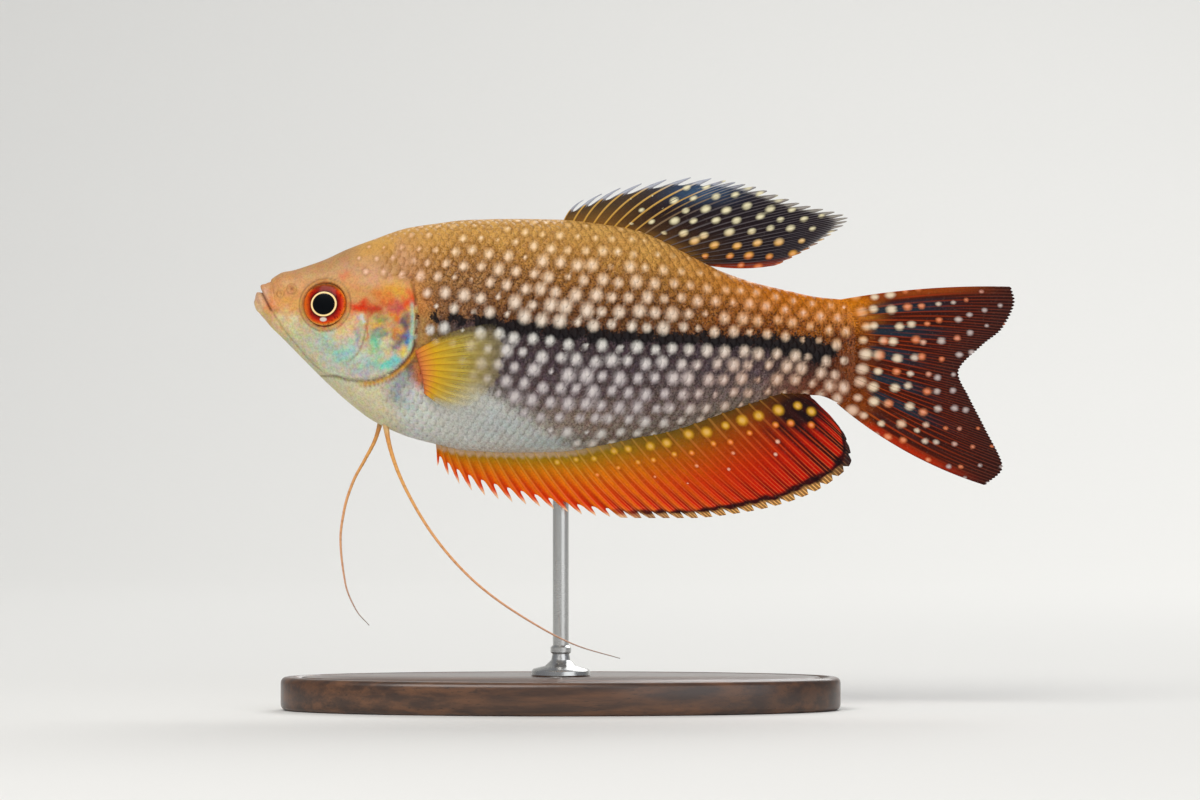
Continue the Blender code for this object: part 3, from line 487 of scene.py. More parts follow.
def skin_fields(points, seed):
    """Ground colour, pearl colour, nearness of pearls and the measures of the pattern, for each point."""
    x, z = points[:, 0], points[:, 2]
    px, pz = (
        value + 0.32 * wobble(x, z, 1.1, seed + k) + 0.12 * wobble(x, z, 0.45, seed + k + 1)
        for value, k in ((x, 0), (z, 2))
    )
    uneven, up, low = from_stripe(x, pz)
    above = uneven + z - pz
    rear = ramp(58.0, 80.0, x)
    pale = ramp(-1.8, 2.8, under_waist(px, pz))
    upper = laid(by_share(UPPER, up), (by_share(UPPER_REAR, up), rear))
    lower = laid(by_share(LOWER, low), (by_share(LOWER_REAR, low), ramp(72.0, 86.0, x)), (PALE_BELLY, pale))
    behind = from_line(x, z, GILL_EDGE)[0]
    ground = laid(
        lower,
        (upper, ramp(-0.5, 0.5, uneven)),
        ("#8c4614", 0.8 * ramp(85.0, 88.5, x) * ramp(-3.0, -6.0, z)),
        (THROAT, ramp(-0.1, 0.3, behind) * ramp(24.0, 17.0, x) * ramp(-9.0, -12.0, z)),
    )
    ground = add_patches(ground, px, pz, BODY_PATCHES, ramp(-0.1, 0.2, behind))
    head = ramp(0.5, -0.5, behind / (0.2 + 3.4 * ramp(0.5, 4.0, z))) * ramp(9.0, 2.5, z)
    head = np.maximum(head, ramp(19.5, 15.0, x + 0.2 * z))
    skull = by_share(HEAD_BY_HEIGHT, pz + 0.105 * np.maximum(x - 8, 0) * (z < 0))
    skull = add_patches(skull, px, pz, HEAD_PATCHES, np.ones(len(x)))
    ground = add_lines_and_groove_shade(laid(ground, (skull, head)), points, behind)
    nape = ramp(30.0, 21.0, x) * ramp(-1.0, 2.0, z)
    tint = laid(
        by_share(PEARL_LOWER, low),
        (by_share(PEARL_UPPER, up), ramp(-0.3, 0.6, above)),
        (by_share(PEARL_REAR, np.clip(above / 5.0, -1, 1)), rear * 0.85),
        ("#f0bc9c", 0.8 * nape),
    )
    torso = ramp(-0.2, 0.4, behind + np.maximum(z - 3.0, 0) * 2)
    speck = np.where(above < 0, 0.7, 0.95 - 0.5 * ramp(0.35, 0.9, up)) * (1 - 0.55 * pale)
    speck = np.maximum(speck * (0.25 + 0.75 * ramp(19.0, 32.0, x)) * torso, 0.22)
    mottle = np.maximum(
        (1 - 0.75 * torso) * (0.4 + 0.6 * ramp(0.0, -3.0, z)),
        0.75 * ramp(32.0, 24.0, x) * ramp(-6.0, -10.0, z),
    )
    half = STRIPE(x)[:, 1]
    inside = half - np.abs(above) + 0.35 * wobble(x, z, 1.3, seed + 5)
    gaps = ramp(0.0, 0.5, wobble(x, z, 1.5, seed + 6)) * ramp(37.0, 29.0, x)
    inside = np.where(half > 0.01, inside - 1.5 * gaps, NO_STRIPE)
    pearl = pearl_shares(flattened(points), *body_pearls(seed))
    pearl = pearl + nape * (0.36 - 0.25 * np.minimum(pearl, 1.4))
    return ground, tint, pearl, np.stack([mottle, speck, inside], axis=1)


def towards_tail(x):
    """How far the rows of pearls and scales have drawn together towards the tail."""
    return 0.84 + 0.16 * ramp(88.0, 62.0, x)


def body_pearls(seed):
    """Middles and radii of one side's pearls, in staggered uneven rows along the stripe."""
    side = -1 if seed % 2 else 1
    rng = np.random.default_rng(seed)
    xs, away = [], []
    for line in range(-11, 12):
        row = (line + 0.5) * PEARL_ROW
        x = np.arange(12.0, 91.0, PEARL_STEP) + PEARL_STEP / 2 * (line % 2)
        x = x + rng.normal(0, 0.18, len(x))
        xs.append(x)
        away.append(towards_tail(x) * (row + math.copysign(PEARL_CLEAR, row)) + rng.normal(0, 0.14, len(x)))
    x, away = np.concatenate(xs), np.concatenate(away)
    x, away = x[x < 89.6], away[x < 89.6]
    angle, reached = row_angle(x, away)
    centres = body_surface(x, angle * side)
    z = centres[:, 2]
    _, up, low = from_stripe(x, z)
    size = np.interp(up, (0.0, 0.3, 0.6, 0.85, 1.0), (0.96, 1.0, 0.88, 0.7, 0.62))
    size = np.where(up < 0, np.interp(low, (0.0, 0.3, 0.75, 1.0), (0.9, 1.0, 0.98, 0.8)), size)
    size = size * np.interp(x, (14, 20, 26, 36, 50, 66, 86), (0.5, 0.66, 0.8, 0.95, 1.03, 0.92, 0.86))
    size = size * (1 + 0.3 * ramp(58.0, 74.0, x) * ramp(0.3, 0.7, up))
    size = size * rng.uniform(0.76, 1.12, len(x)) * np.where(rng.random(len(x)) < 0.1, 0.6, 1.0)
    size = size * (1 - 0.9 * ramp(-1.0, 3.0, under_waist(x, z)) * ramp(52.0, 44.0, x))
    behind = from_line(x, z, GILL_EDGE)[0]
    keep = reached & ((behind > GILL_CLEAR) | (z > 3.2) & (x > 14.5)) & (size > 0.2)
    keep &= ~((x < 29.0) & (z < -7.5))
    size = size[keep]
    return flattened(centres[keep]), size * 1.08, size * rng.uniform(1.1, 1.3, len(size))


def flattened(points):
    """Points drawn to the fish's middle plane where the tail stalk ends, so that pearls run on to its fin."""
    x, y, z = points.T
    return np.stack([x, y * ramp(89.0, 84.0, x), z], axis=1)


def pearl_shares(points, centres, lengths, heights):
    """Distance from the nearest pearl's middle in its radii, no further out than PEARL_REACH."""
    share = np.full(len(points), NO_PEARL)
    order = np.argsort(points[:, 0])
    sorted_x = points[order, 0]
    for centre, length, height in zip(centres, lengths, heights):
        searched = 2.6 * length  # past this the skin shows nothing of a pearl
        first, last = np.searchsorted(sorted_x, (centre[0] - searched, centre[0] + searched))
        near = order[first:last]
        apart = points[near] - centre
        found = np.sqrt((apart[:, 0] / length) ** 2 + (apart[:, 1] ** 2 + apart[:, 2] ** 2) / height**2)
        share[near] = np.minimum(share[near], found)
    return np.minimum(share, PEARL_REACH)


def add_lines_and_groove_shade(ground, points, behind):
    """Darker lines of the mouth, nostrils, eye rim, cheek, jaw and the free edge of the gill cover, which are
    painted shade in the grooves of the relief, and coloured bands along the gill cover and round the eye.
    """
    x, z = points[:, 0], points[:, 2]
    low = ramp(GILL_OPENING_TOP + 0.8, GILL_OPENING_TOP - 0.6, z)
    edge = bell(behind + 0.45, 0.3) * ramp(0.0, -1.0, z) * low
    under = ramp(-6.9, -8.0, z) * ramp(14.5, 17.5, x)
    ahead, down = from_mouth(x, z)
    ground = laid(
        ground,
        # Painted shade in the groove under the free edge of the gill cover
        ("#6a3a22", 0.6 * bell(behind - 0.2, 0.16) * low),
        ("#9fd0c0", 0.75 * edge * ramp(-8.6, -7.2, z)),
        ("#d8961e", 0.9 * bell(behind - 0.52, 0.3) * under),
        ("#8a4a28", 0.65 * bell(behind - 0.95, 0.12) * under),
        # Painted shade in the slit of the mouth
        ("#6b3220", 0.8 * bell(ahead, 0.13) * ramp(3.2, 2.6, down)),
    )
    for hole_x, hole_z, size, _, depth in NOSTRILS:
        r = np.hypot(x - hole_x, z - hole_z)
        # Painted shade in each nostril's hole and round the foot of its rim
        ring = bell(r - size * 1.35, 0.11) * 0.35 + bell(r, size * 0.42) * depth
        ground = laid(ground, ("#7c4628", ring))
    # Painted shade along the grooves of the cheek and the jaw
    for line in (CHEEK_LINE, JAW_LINE):
        signed, share = from_line(x, z, line)
        groove_shade = bell(signed, 0.12) * ramp(0, 0.08, share) * ramp(1.0, 0.85, share)
        ground = laid(ground, ("#7a5240", 0.42 * groove_shade))
    r = eye_distance(points)
    return laid(
        ground,
        ("#d89a50", 0.75 * bell(r - 3.6, 0.3)),
        ("#c05a1c", ramp(3.4, 3.2, r)),
        # Painted shade in the groove between the eye and its rim, and at the outer foot of the rim
        ("#6e4a2a", 0.6 * bell(r - 3.42, 0.1)),
        ("#7a5a34", 0.6 * bell(r - 3.98, 0.13)),
    )


# Making pieces


def deselect():
    bpy.ops.object.select_all(action="DESELECT")


def select_only(piece):
    deselect()
    piece.select_set(True)
    bpy.context.view_layer.objects.active = piece


def made(name):
    """The object that an operator has just added, named, with its place in its mesh."""
    piece = bpy.context.object
    piece.data.transform(piece.matrix_world)
    piece.matrix_world = Matrix.Identity(4)
    piece.name = piece.data.name = name
    return piece


def added(name, data):
    """A new object in the scene that shows this mesh, curve, light or camera."""
    piece = bpy.data.objects.new(name, data)
    bpy.context.scene.collection.objects.link(piece)
    return piece


def apply_all(piece):
    select_only(piece)
    for modifier in list(piece.modifiers):
        bpy.ops.object.modifier_apply(modifier=modifier.name)


def outward(piece):
    """Turns the faces outwards."""
    select_only(piece)
    bpy.ops.object.mode_set(mode="EDIT")
    bpy.ops.mesh.select_all(action="SELECT")
    bpy.ops.mesh.normals_make_consistent(inside=False)
    bpy.ops.object.mode_set(mode="OBJECT")
    deselect()


def corners(piece):
    co = np.empty(len(piece.data.vertices) * 3)
    piece.data.vertices.foreach_get("co", co)
    return co.reshape(-1, 3)


def set_corners(piece, points):
    piece.data.vertices.foreach_set("co", points.ravel())
    piece.data.update()


def write_fields(mesh, **fields):
    """Keeps colours (three numbers a point, given linear), vectors or numbers on the points."""
    for name, values in fields.items():
        values = np.asarray(values, np.float32)
        if name in ("ground", "tint", "line"):
            alpha = np.ones((len(values), 1), np.float32)
            values = np.hstack([np.clip(values, 0, 1), alpha])
            kind, key = "FLOAT_COLOR", "color"
        elif values.ndim == 2:
            kind, key = "FLOAT_VECTOR", "vector"
        else:
            kind, key = "FLOAT", "value"
        mesh.attributes.new(name, kind, "POINT").data.foreach_set(key, values.ravel())


def finish(piece, material, nodes):
    """Gives a piece its material and body, and hides the nodes that it stands for."""
    piece.data.materials.clear()
    piece.data.materials.append(material)
    piece.data.shade_smooth()
    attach(piece, "root")
    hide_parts(*nodes)


def keep_edges(piece):
    """Shades a turned or cut piece smooth, apart from its sharper edges."""
    select_only(piece)
    bpy.ops.object.shade_smooth_by_angle(angle=math.radians(35))


# Materials

# Settings of a Map Range that rises smoothly from its second input to its third, and of Math nodes
SOFT = {"interpolation_type": "SMOOTHSTEP"}
TIMES = {"operation": "MULTIPLY"}
TIMES_PLUS = {"operation": "MULTIPLY_ADD"}
PLUS = {"operation": "ADD"}
# A Mix of colours: its inputs are 0 the amount, 6 the colour below and 7 the one laid over it.
# A Noise Texture's are 0 the place, 2 the scale, 3 the detail and 4 the roughness.
LAY = {"data_type": "RGBA"}


def add_node(tree, kind, inputs=(), output=0, stops=None, **settings):
    """Adds a node with its settings, inputs (sockets or values) and colour stops, giving its output."""
    node = tree.nodes.new("ShaderNode" + kind)
    for key, value in settings.items():
        setattr(node, key, value)
    for key, given in inputs.items() if isinstance(inputs, dict) else enumerate(inputs):
        if isinstance(given, bpy.types.NodeSocket):
            tree.links.new(given, node.inputs[key])
        else:
            node.inputs[key].default_value = given
    for index, (position, colour) in enumerate((stops or {}).items()):
        elements = node.color_ramp.elements
        stop = elements[index] if index < 2 else elements.new(position)
        stop.position, stop.color = position, linear(colour)
    return node.outputs if output is None else node.outputs[output]


def new_material(name, **values):
    """A material with even values on its shader's own sockets, its node tree, and what adds nodes to it."""
    material = bpy.data.materials.new(name)
    material.use_nodes = True
    shader = material.node_tree.nodes["Principled BSDF"]
    for key, value in values.items():
        shader.inputs[key.replace("_", " ")].default_value = value
    return material, material.node_tree, functools.partial(add_node, material.node_tree)


def into_shader(tree, **sockets):
    """Links sockets into the Principled shader."""
    shader = tree.nodes["Principled BSDF"]
    for key, socket in sockets.items():
        tree.links.new(socket, shader.inputs[key.replace("_", " ")])


def fish_material(
        name, has_rays=False, see_through=False, roughness=0.42, coat=0.12, heart_light=0.4, shine=0.2):
    """Fish skin under a thin clear varnish: dark pigment specks over an even ground, with pearls.

    The eye reads it as wet skin: the ground stays soft and the varnish gives small crisp lights.
    """
    material, tree, node = new_material(
        name, Coat_Weight=coat, Coat_Roughness=0.12, Coat_IOR=1.4, IOR=1.38, Specular_IOR_Level=shine)
    where = node("TexCoord", output="Object")
    marks = node("Attribute", output="Vector", attribute_name="marks")
    mottle, speck, inside = node("SeparateXYZ", [marks], None)
    # Each noise's lumps in millimetres, detail, roughness and output
    noises = (
        (0.3, 2.0, 0.6, 0), (3.2, 3.0, 0.6, 0), (0.8, 2.5, 0.6, 1), (0.3, 3.0, 0.65, 0), (0.28, 2.0, 0.6, 0))
    grain, cloud, flecks, dark, light = (
        node("TexNoise", {0: where, 2: 1 / (lump * MM), 3: detail, 4: rough}, output)
        for lump, detail, rough, output in noises)
    flecks = node("MapRange", {6: flecks, 7: (0.36,) * 3, 8: (0.64,) * 3}, "Vector", data_type="FLOAT_VECTOR")
    dark = node("MapRange", (dark, 0.44, 0.62), **SOFT)
    light = node("MapRange", (light, 0.55, 0.72), **SOFT)
    inside = node("Math", (inside, node("Math", (grain, 2.0, -1.0), **TIMES_PLUS)), **PLUS)
    inside = node("MapRange", (inside, -0.45, 0.4), **SOFT)
    share = node("Attribute", output="Fac", attribute_name="pearl")
    share = node("Math", (share, node("Math", (grain, 0.16, -0.08), **TIMES_PLUS)), **PLUS)
    halo = node("MapRange", (share, 1.9, 1.15), **SOFT)
    pearl = node("MapRange", (share, 1.24, 0.3), **SOFT)
    heart = node("MapRange", (share, 0.8, 0.0), **SOFT)
    colour = node("Attribute", output="Color", attribute_name="ground")
    layers = (
        (node("Math", (mottle, 0.34), **TIMES), flecks, "SOFT_LIGHT"),
        (node("Math", (cloud, 0.5, -0.08), use_clamp=True, **TIMES_PLUS), linear("#bc9c80"), "MULTIPLY"),
        (node("Math", (node("Math", (dark, speck), **TIMES), 0.85), **TIMES), linear("#5c3e2a"), "MULTIPLY"),
        (node("Math", (light, node("Math", (speck, 0.15), **TIMES)), **TIMES), linear("#e8d2b8"), "MIX"),
        (node("Math", (inside, 0.97), **TIMES), linear("#120c0e"), "MIX"),
    )
    for amount, laid_on, blend in layers:
        colour = node("Mix", {0: amount, 6: colour, 7: laid_on}, 2, blend_type=blend, **LAY)
    if has_rays:
        line = node("Attribute", output="Color", attribute_name="line")
        colour = node("Mix", {0: ray_lines(node), 6: colour, 7: line}, 2, **LAY)
    around = node("Math", (halo, node("Math", (speck, 0.5, 0.05), **TIMES_PLUS)), **TIMES)
    tint = node("Attribute", output="Color", attribute_name="tint")
    bright = node("Math", (heart, heart_light), **TIMES)
    tint = node("Mix", {0: bright, 6: tint, 7: linear("#fbf4ea")}, 2, **LAY)
    colour = node("Mix", {0: around, 6: colour, 7: linear("#96704c")}, 2, blend_type="MULTIPLY", **LAY)
    colour = node("Mix", {0: node("Math", (pearl, 0.95), **TIMES), 6: colour, 7: tint}, 2, **LAY)
    rough = node("Math", (pearl, -0.1, roughness), **TIMES_PLUS)
    rough = node("Math", (rough, node("Math", (cloud, 0.12, -0.06), **TIMES_PLUS)), **PLUS)
    height = node("Math", (pearl, 0.35, node("Math", (grain, 0.5), **TIMES)), **TIMES_PLUS)
    bump = node("Bump", {"Strength": 0.22, "Distance": 0.05 * MM, "Height": height})
    into_shader(tree, Base_Color=colour, Roughness=rough, Normal=bump)
    if see_through:
        into_shader(tree, Alpha=node("Attribute", output="Fac", attribute_name="cover"))
    return material


def ray_lines(node):
    """Fine lines along a fin's rays, twice as many past the middle, where the rays branch."""
    rays = node("Attribute", output="Vector", attribute_name="rays")
    ray, far, strength = node("SeparateXYZ", [rays], None)
    waves = [node("Math", [node("Math", (ray, n * math.pi), **TIMES)], operation="COSINE") for n in (2, 4, 8)]
    ranges = (
        (waves[0], 0.72, 0.98), (waves[1], 0.5, 0.95), (waves[2], 0.3, 0.95),
        (far, 0.2, 0.45), (far, 0.55, 0.8))
    single, double, fourfold, out, further = (node("MapRange", three, **SOFT) for three in ranges)
    one = node("Math", (single, node("Math", (1.0, out), operation="SUBTRACT")), **TIMES)
    not_yet = node("Math", (out, node("Math", (1.0, further), operation="SUBTRACT")), **TIMES)
    two = node("Math", (double, not_yet), **TIMES)
    four = node("Math", (fourfold, further), **TIMES)
    total = node("Math", (one, node("Math", (two, four), **PLUS)), **PLUS)
    return node("Math", (total, strength), use_clamp=True, **TIMES)


def eye_material():
    """A glass eye: a flat painted iris under a deep clear lens, so that it shines like a live one."""
    material, tree, node = new_material(
        "glass_eye", Roughness=0.3, Coat_Weight=0.3, Coat_Roughness=0.02, Coat_IOR=1.3, IOR=1.3,
        Specular_IOR_Level=0.12)
    iris = node("Attribute", output="Vector", attribute_name="iris")
    back, up, _ = node("SeparateXYZ", [iris], None)
    across = node("Math", (back, node("Math", (back, 0.94), **TIMES)), **TIMES)
    upward = node("Math", (up, node("Math", (up, 1.08), **TIMES)), **TIMES)
    radius = node("Math", [node("Math", (across, upward), **PLUS)], operation="SQRT")
    where = node("TexCoord", output="Object")
    grain = node("TexNoise", {0: where, 2: 1 / (0.35 * MM), 3: 3.0, 4: 0.6})
    wavy = node("TexNoise", {0: where, 2: 1 / (0.9 * MM), 3: 2.0, 4: 0.5})
    wavy = node("Math", (wavy, 0.3, -0.15), **TIMES_PLUS)
    wavy = node("Math", (node("Math", (radius, wavy), **PLUS), 3.3), operation="DIVIDE")
    colour = node("ValToRGB", [wavy], "Color", stops={
        0.0: "#2a0603", 0.6: "#4a0703", 0.68: "#880e04", 0.79: "#bc2206", 0.88: "#dc4c0a", 0.94: "#ea8024",
        0.975: "#e0a052", 1.0: "#8a5428"})
    grain, top, front = (
        node("MapRange", three, **SOFT) for three in ((grain, 0.5, 0.75), (up, 1.7, 2.6), (back, -1.9, -2.9)))
    spot_x = node("Math", (node("Math", (back, 0.1), **PLUS), 0.55), operation="DIVIDE")
    spot_z = node("Math", (node("Math", (up, 2.3), **PLUS), 0.32), operation="DIVIDE")
    glint = node("Math", [node("Math", (s, s), **TIMES) for s in (spot_x, spot_z)], **PLUS)
    ends = ((1.96, 1.9), (1.64, 1.7))
    ring = node("Math", [node("MapRange", (radius, *pair), **SOFT) for pair in ends], **TIMES)
    layers = (
        (grain, "#70302a", "MULTIPLY"),
        # Painted shade from the brow over the top of the iris
        (node("Math", (top, 0.7), **TIMES), "#4e2010", "MIX"),
        (node("Math", (front, 0.6), **TIMES), "#dc6c1c", "MIX"),
        (node("MapRange", (glint, 1.3, 0.5), **SOFT), "#d8cabc", "MIX"),
        (ring, "#ffdc9c", "MIX"),
        (node("MapRange", (radius, 1.68, 1.64), **SOFT), "#05070a", "MIX"),
    )
    for amount, over, blend in layers:
        colour = node("Mix", {0: amount, 6: colour, 7: linear(over)}, 2, blend_type=blend, **LAY)
    into_shader(tree, Base_Color=colour)
    return material


def feeler_material():
    """A thread-like fin ray: smooth and moist, gold-orange at the root, grey and clear at the tip."""
    material, tree, node = new_material("feeler_ray", Roughness=0.35, Coat_Weight=0.2, Coat_Roughness=0.15)
    far = node("Attribute", output="Fac", attribute_name="far")
    colour = node("ValToRGB", [far], "Color", stops={
        0.0: "#d6b888", 0.03: "#d4ae74", 0.06: "#d69248", 0.15: "#e0a050", 0.45: "#e2a26a", 0.75: "#d8a07c",
        0.92: "#b09484", 1.0: "#8f8478"})
    where = node("TexCoord", output="Object")
    grain = node("TexNoise", {0: where, 2: 1 / (0.5 * MM), 3: 3.0, 4: 0.5})
    amount = node("Math", (node("MapRange", (grain, 0.45, 0.7), **SOFT), 0.4), **TIMES)
    colour = node("Mix", {0: amount, 6: colour, 7: linear("#a8652c")}, 2, **LAY)
    bump = node("Bump", {"Strength": 0.3, "Distance": 0.04 * MM, "Height": grain})
    into_shader(tree, Base_Color=colour, Normal=bump)
    return material


def wood_material():
    """Walnut, sawn, sanded and lacquered: long dark grain with pores, under a satin clear coat."""
    material, tree, node = new_material("lacquered_walnut", Coat_Weight=0.45, Coat_Roughness=0.18, IOR=1.5)
    along_grain = node("Mapping", {"Vector": node("TexCoord", output="Object"), "Scale": (0.09, 1.0, 1.0)})
    grain, figure, pores = (
        node("TexNoise", {0: along_grain, 2: 1 / (lump * MM), 3: detail, 4: rough})
        for lump, detail, rough in ((1.6, 6.0, 0.62), (7.0, 3.0, 0.5), (0.28, 2.0, 0.7)))
    pores = node("MapRange", (pores, 0.58, 0.7), **SOFT)
    colour = linear("#3a2416")
    layers = (
        (node("MapRange", (grain, 0.35, 0.68), **SOFT), "#6a4428"),
        (node("Math", (node("MapRange", (figure, 0.4, 0.65), **SOFT), 0.5), **TIMES), "#2a1810"),
        (node("Math", (pores, 0.55), **TIMES), "#1a0f0a"),
    )
    for amount, over in layers:
        colour = node("Mix", {0: amount, 6: colour, 7: linear(over)}, 2, **LAY)
    rough = node("Math", (grain, 0.2, 0.32), **TIMES_PLUS)
    height = node("Math", (pores, -0.6, grain), **TIMES_PLUS)
    bump = node("Bump", {"Strength": 0.25, "Distance": 0.05 * MM, "Height": height})
    into_shader(tree, Base_Color=colour, Roughness=rough, Normal=bump)
    return material


def steel_material():
    """Stainless steel, turned on a lathe: fine rings round the rod that stretch its highlights."""
    material, tree, node = new_material("turned_stainless_steel", Metallic=1.0, Base_Color=linear("#c4c4c2"))
    where = node("TexCoord", output="Object")
    round_rod = node("Mapping", {"Vector": where, "Scale": (0.05, 0.05, 1.0)})
    rings = node("TexNoise", {0: round_rod, 2: 1 / (0.12 * MM), 3: 3.0, 4: 0.6})
    smear = node("TexNoise", {0: where, 2: 1 / (3.0 * MM), 3: 2.0, 4: 0.5})
    smear = node("Math", (smear, 0.12, 0.16), **TIMES_PLUS)
    bump = node("Bump", {"Strength": 0.08, "Distance": 0.01 * MM, "Height": rings})
    into_shader(tree, Roughness=node("Math", (rings, 0.08, smear), **TIMES_PLUS), Normal=bump)
    return material


def paper_material(colour):
    """Matte paper, pressed from fibres: even and pale, with faint clouds in it."""
    material, tree, node = new_material("matte_paper", Roughness=0.9)
    where = node("TexCoord", output="Object")
    fibre = node("TexNoise", {0: where, 2: 1 / (1.5 * MM), 3: 4.0, 4: 0.6})
    faint = node("Math", (fibre, 0.06), **TIMES)
    into_shader(tree, Base_Color=node("Mix", {0: faint, 6: colour, 7: linear("#c9c6c0")}, 2, **LAY))
    return material


# Settings that a user would change


def distance(name, description, default):
    return FloatProperty(
        name=name, description=description, default=default, unit="LENGTH", subtype="DISTANCE")


class SkinSettings(bpy.types.PropertyGroup):
    rings: IntProperty(name="Rings", description="Rings of the skin from snout to tail", default=520, min=60)
    sides: IntProperty(name="Sides", description="Points round each ring of the skin", default=180, min=24)
    scale_step: distance("Scale Step", "From one scale to the next along a row", 1.32 * MM)
    scale_row: distance("Scale Row", "From one row of scales to the next", 1.13 * MM)
    scale_lift: distance("Scale Lift", "How far a scale's free edge stands off the skin", 0.03 * MM)


class FinSettings(bpy.types.PropertyGroup):
    membrane: distance("Membrane", "Thickness of the skin between rays", 0.16 * MM)
    ray: distance("Ray", "Thickness of a ray near its root", 0.5 * MM)
    rows: IntProperty(name="Rows", description="Rows of faces from root to edge", default=64, min=8)


class StandSettings(bpy.types.PropertyGroup):
    half_length: distance("Half Length", "Of the oval base", 42.0 * MM)
    half_width: distance("Half Width", "Of the oval base", 19.0 * MM)
    thickness: distance("Thickness", "Of the oval base", 5.0 * MM)
    rod_radius: distance("Rod Radius", "Of the steel rod", 1.2 * MM)


class StageSettings(bpy.types.PropertyGroup):
    floor_colour: FloatVectorProperty(
        name="Floor", description="Colour of the floor and the backdrop", default=linear("#e9e8e4")[:3],
        subtype="COLOR", min=0.0, max=1.0)
    camera_distance: distance("Camera Distance", "From the camera to the fish", 0.9)
    view_width: distance("View Width", "Width of the picture at the fish", 0.18)


# Pieces


class GOURAMI_OT_skin(bpy.types.Operator):
    """Adds the skin of head, torso and tail stalk as one closed form"""

    bl_idname = "gourami.skin"
    bl_label = "Skin"

    def execute(self, context):
        settings = context.scene.gourami_skin
        deselect()
        bpy.ops.mesh.primitive_uv_sphere_add(segments=settings.sides, ring_count=settings.rings, radius=1.0)
        skin = made("skin")
        ball = corners(skin)
        ring = np.arccos(np.clip(ball[:, 2], -1, 1)) / math.pi
        spread = through((0.0, 0.1, 0.55, 0.93, 1.0), (0.0, 3.0, 25.5, 86.0, BODY_END))
        even = np.arctan2(ball[:, 1], ball[:, 0])
        points = skin_at(spread(ring)[:, 0], even + 0.17 * np.sin(2 * even))
        set_corners(skin, place(points))
        outward(skin)
        fields = {key: np.empty((len(points), 3)) for key in ("ground", "tint", "pearl", "marks")}
        for _, side, seed in SIDES:
            chosen = (points[:, 1] < 0) == (side < 0)
            for kept, part in zip(fields.values(), skin_fields(points[chosen], seed)):
                kept[chosen] = part.reshape(chosen.sum(), -1)
        fields["pearl"] = fields["pearl"][:, 0]
        write_fields(skin.data, **fields)
        finish(skin, fish_material("moist_fish_skin"), BODY_NODES)
        return {"FINISHED"}


def scale_template():
    """One scale as a thin closed plate: points from -1 to 1, rear edge at +1, and its faces."""
    deselect()
    bpy.ops.mesh.primitive_grid_add(x_subdivisions=4, y_subdivisions=4, size=2.0)
    plate = made("scale_template")
    a, b, _ = corners(plate).T
    set_corners(plate, np.stack([a * np.sqrt(1 - b**2 / 2), b * np.sqrt(1 - a**2 / 2), a * 0], axis=1))
    wall = plate.modifiers.new("wall", "SOLIDIFY")
    wall.thickness = 0.5
    wall.offset = -1.0
    apply_all(plate)
    outward(plate)
    points = corners(plate)
    faces = [tuple(p.vertices) for p in plate.data.polygons]
    bpy.data.objects.remove(plate)
    return points, faces


def scale_roots(step, row, seed):
    """Where scales grow on one side: x and angle of each, in staggered rows along the stripe."""
    rng = np.random.default_rng(seed)
    xs, away = [], []
    for line in range(-34, 34):
        x = np.arange(13.0, 89.0, step) + (step / 2 if line % 2 else 0.0)
        xs.append(x + rng.uniform(-0.06, 0.06, len(x)))
        away.append(towards_tail(x) * line * row + rng.uniform(-0.04, 0.04, len(x)))
    x, away = np.concatenate(xs), np.concatenate(away)
    angle, reached = row_angle(x, away)
    z = body_surface(x, angle)[:, 2]
    behind = from_line(x, z, GILL_EDGE)[0]
    keep = reached & ((behind > GILL_CLEAR) | (z > GILL_OPENING_TOP) & (x > 15.5))
    return x[keep], angle[keep]


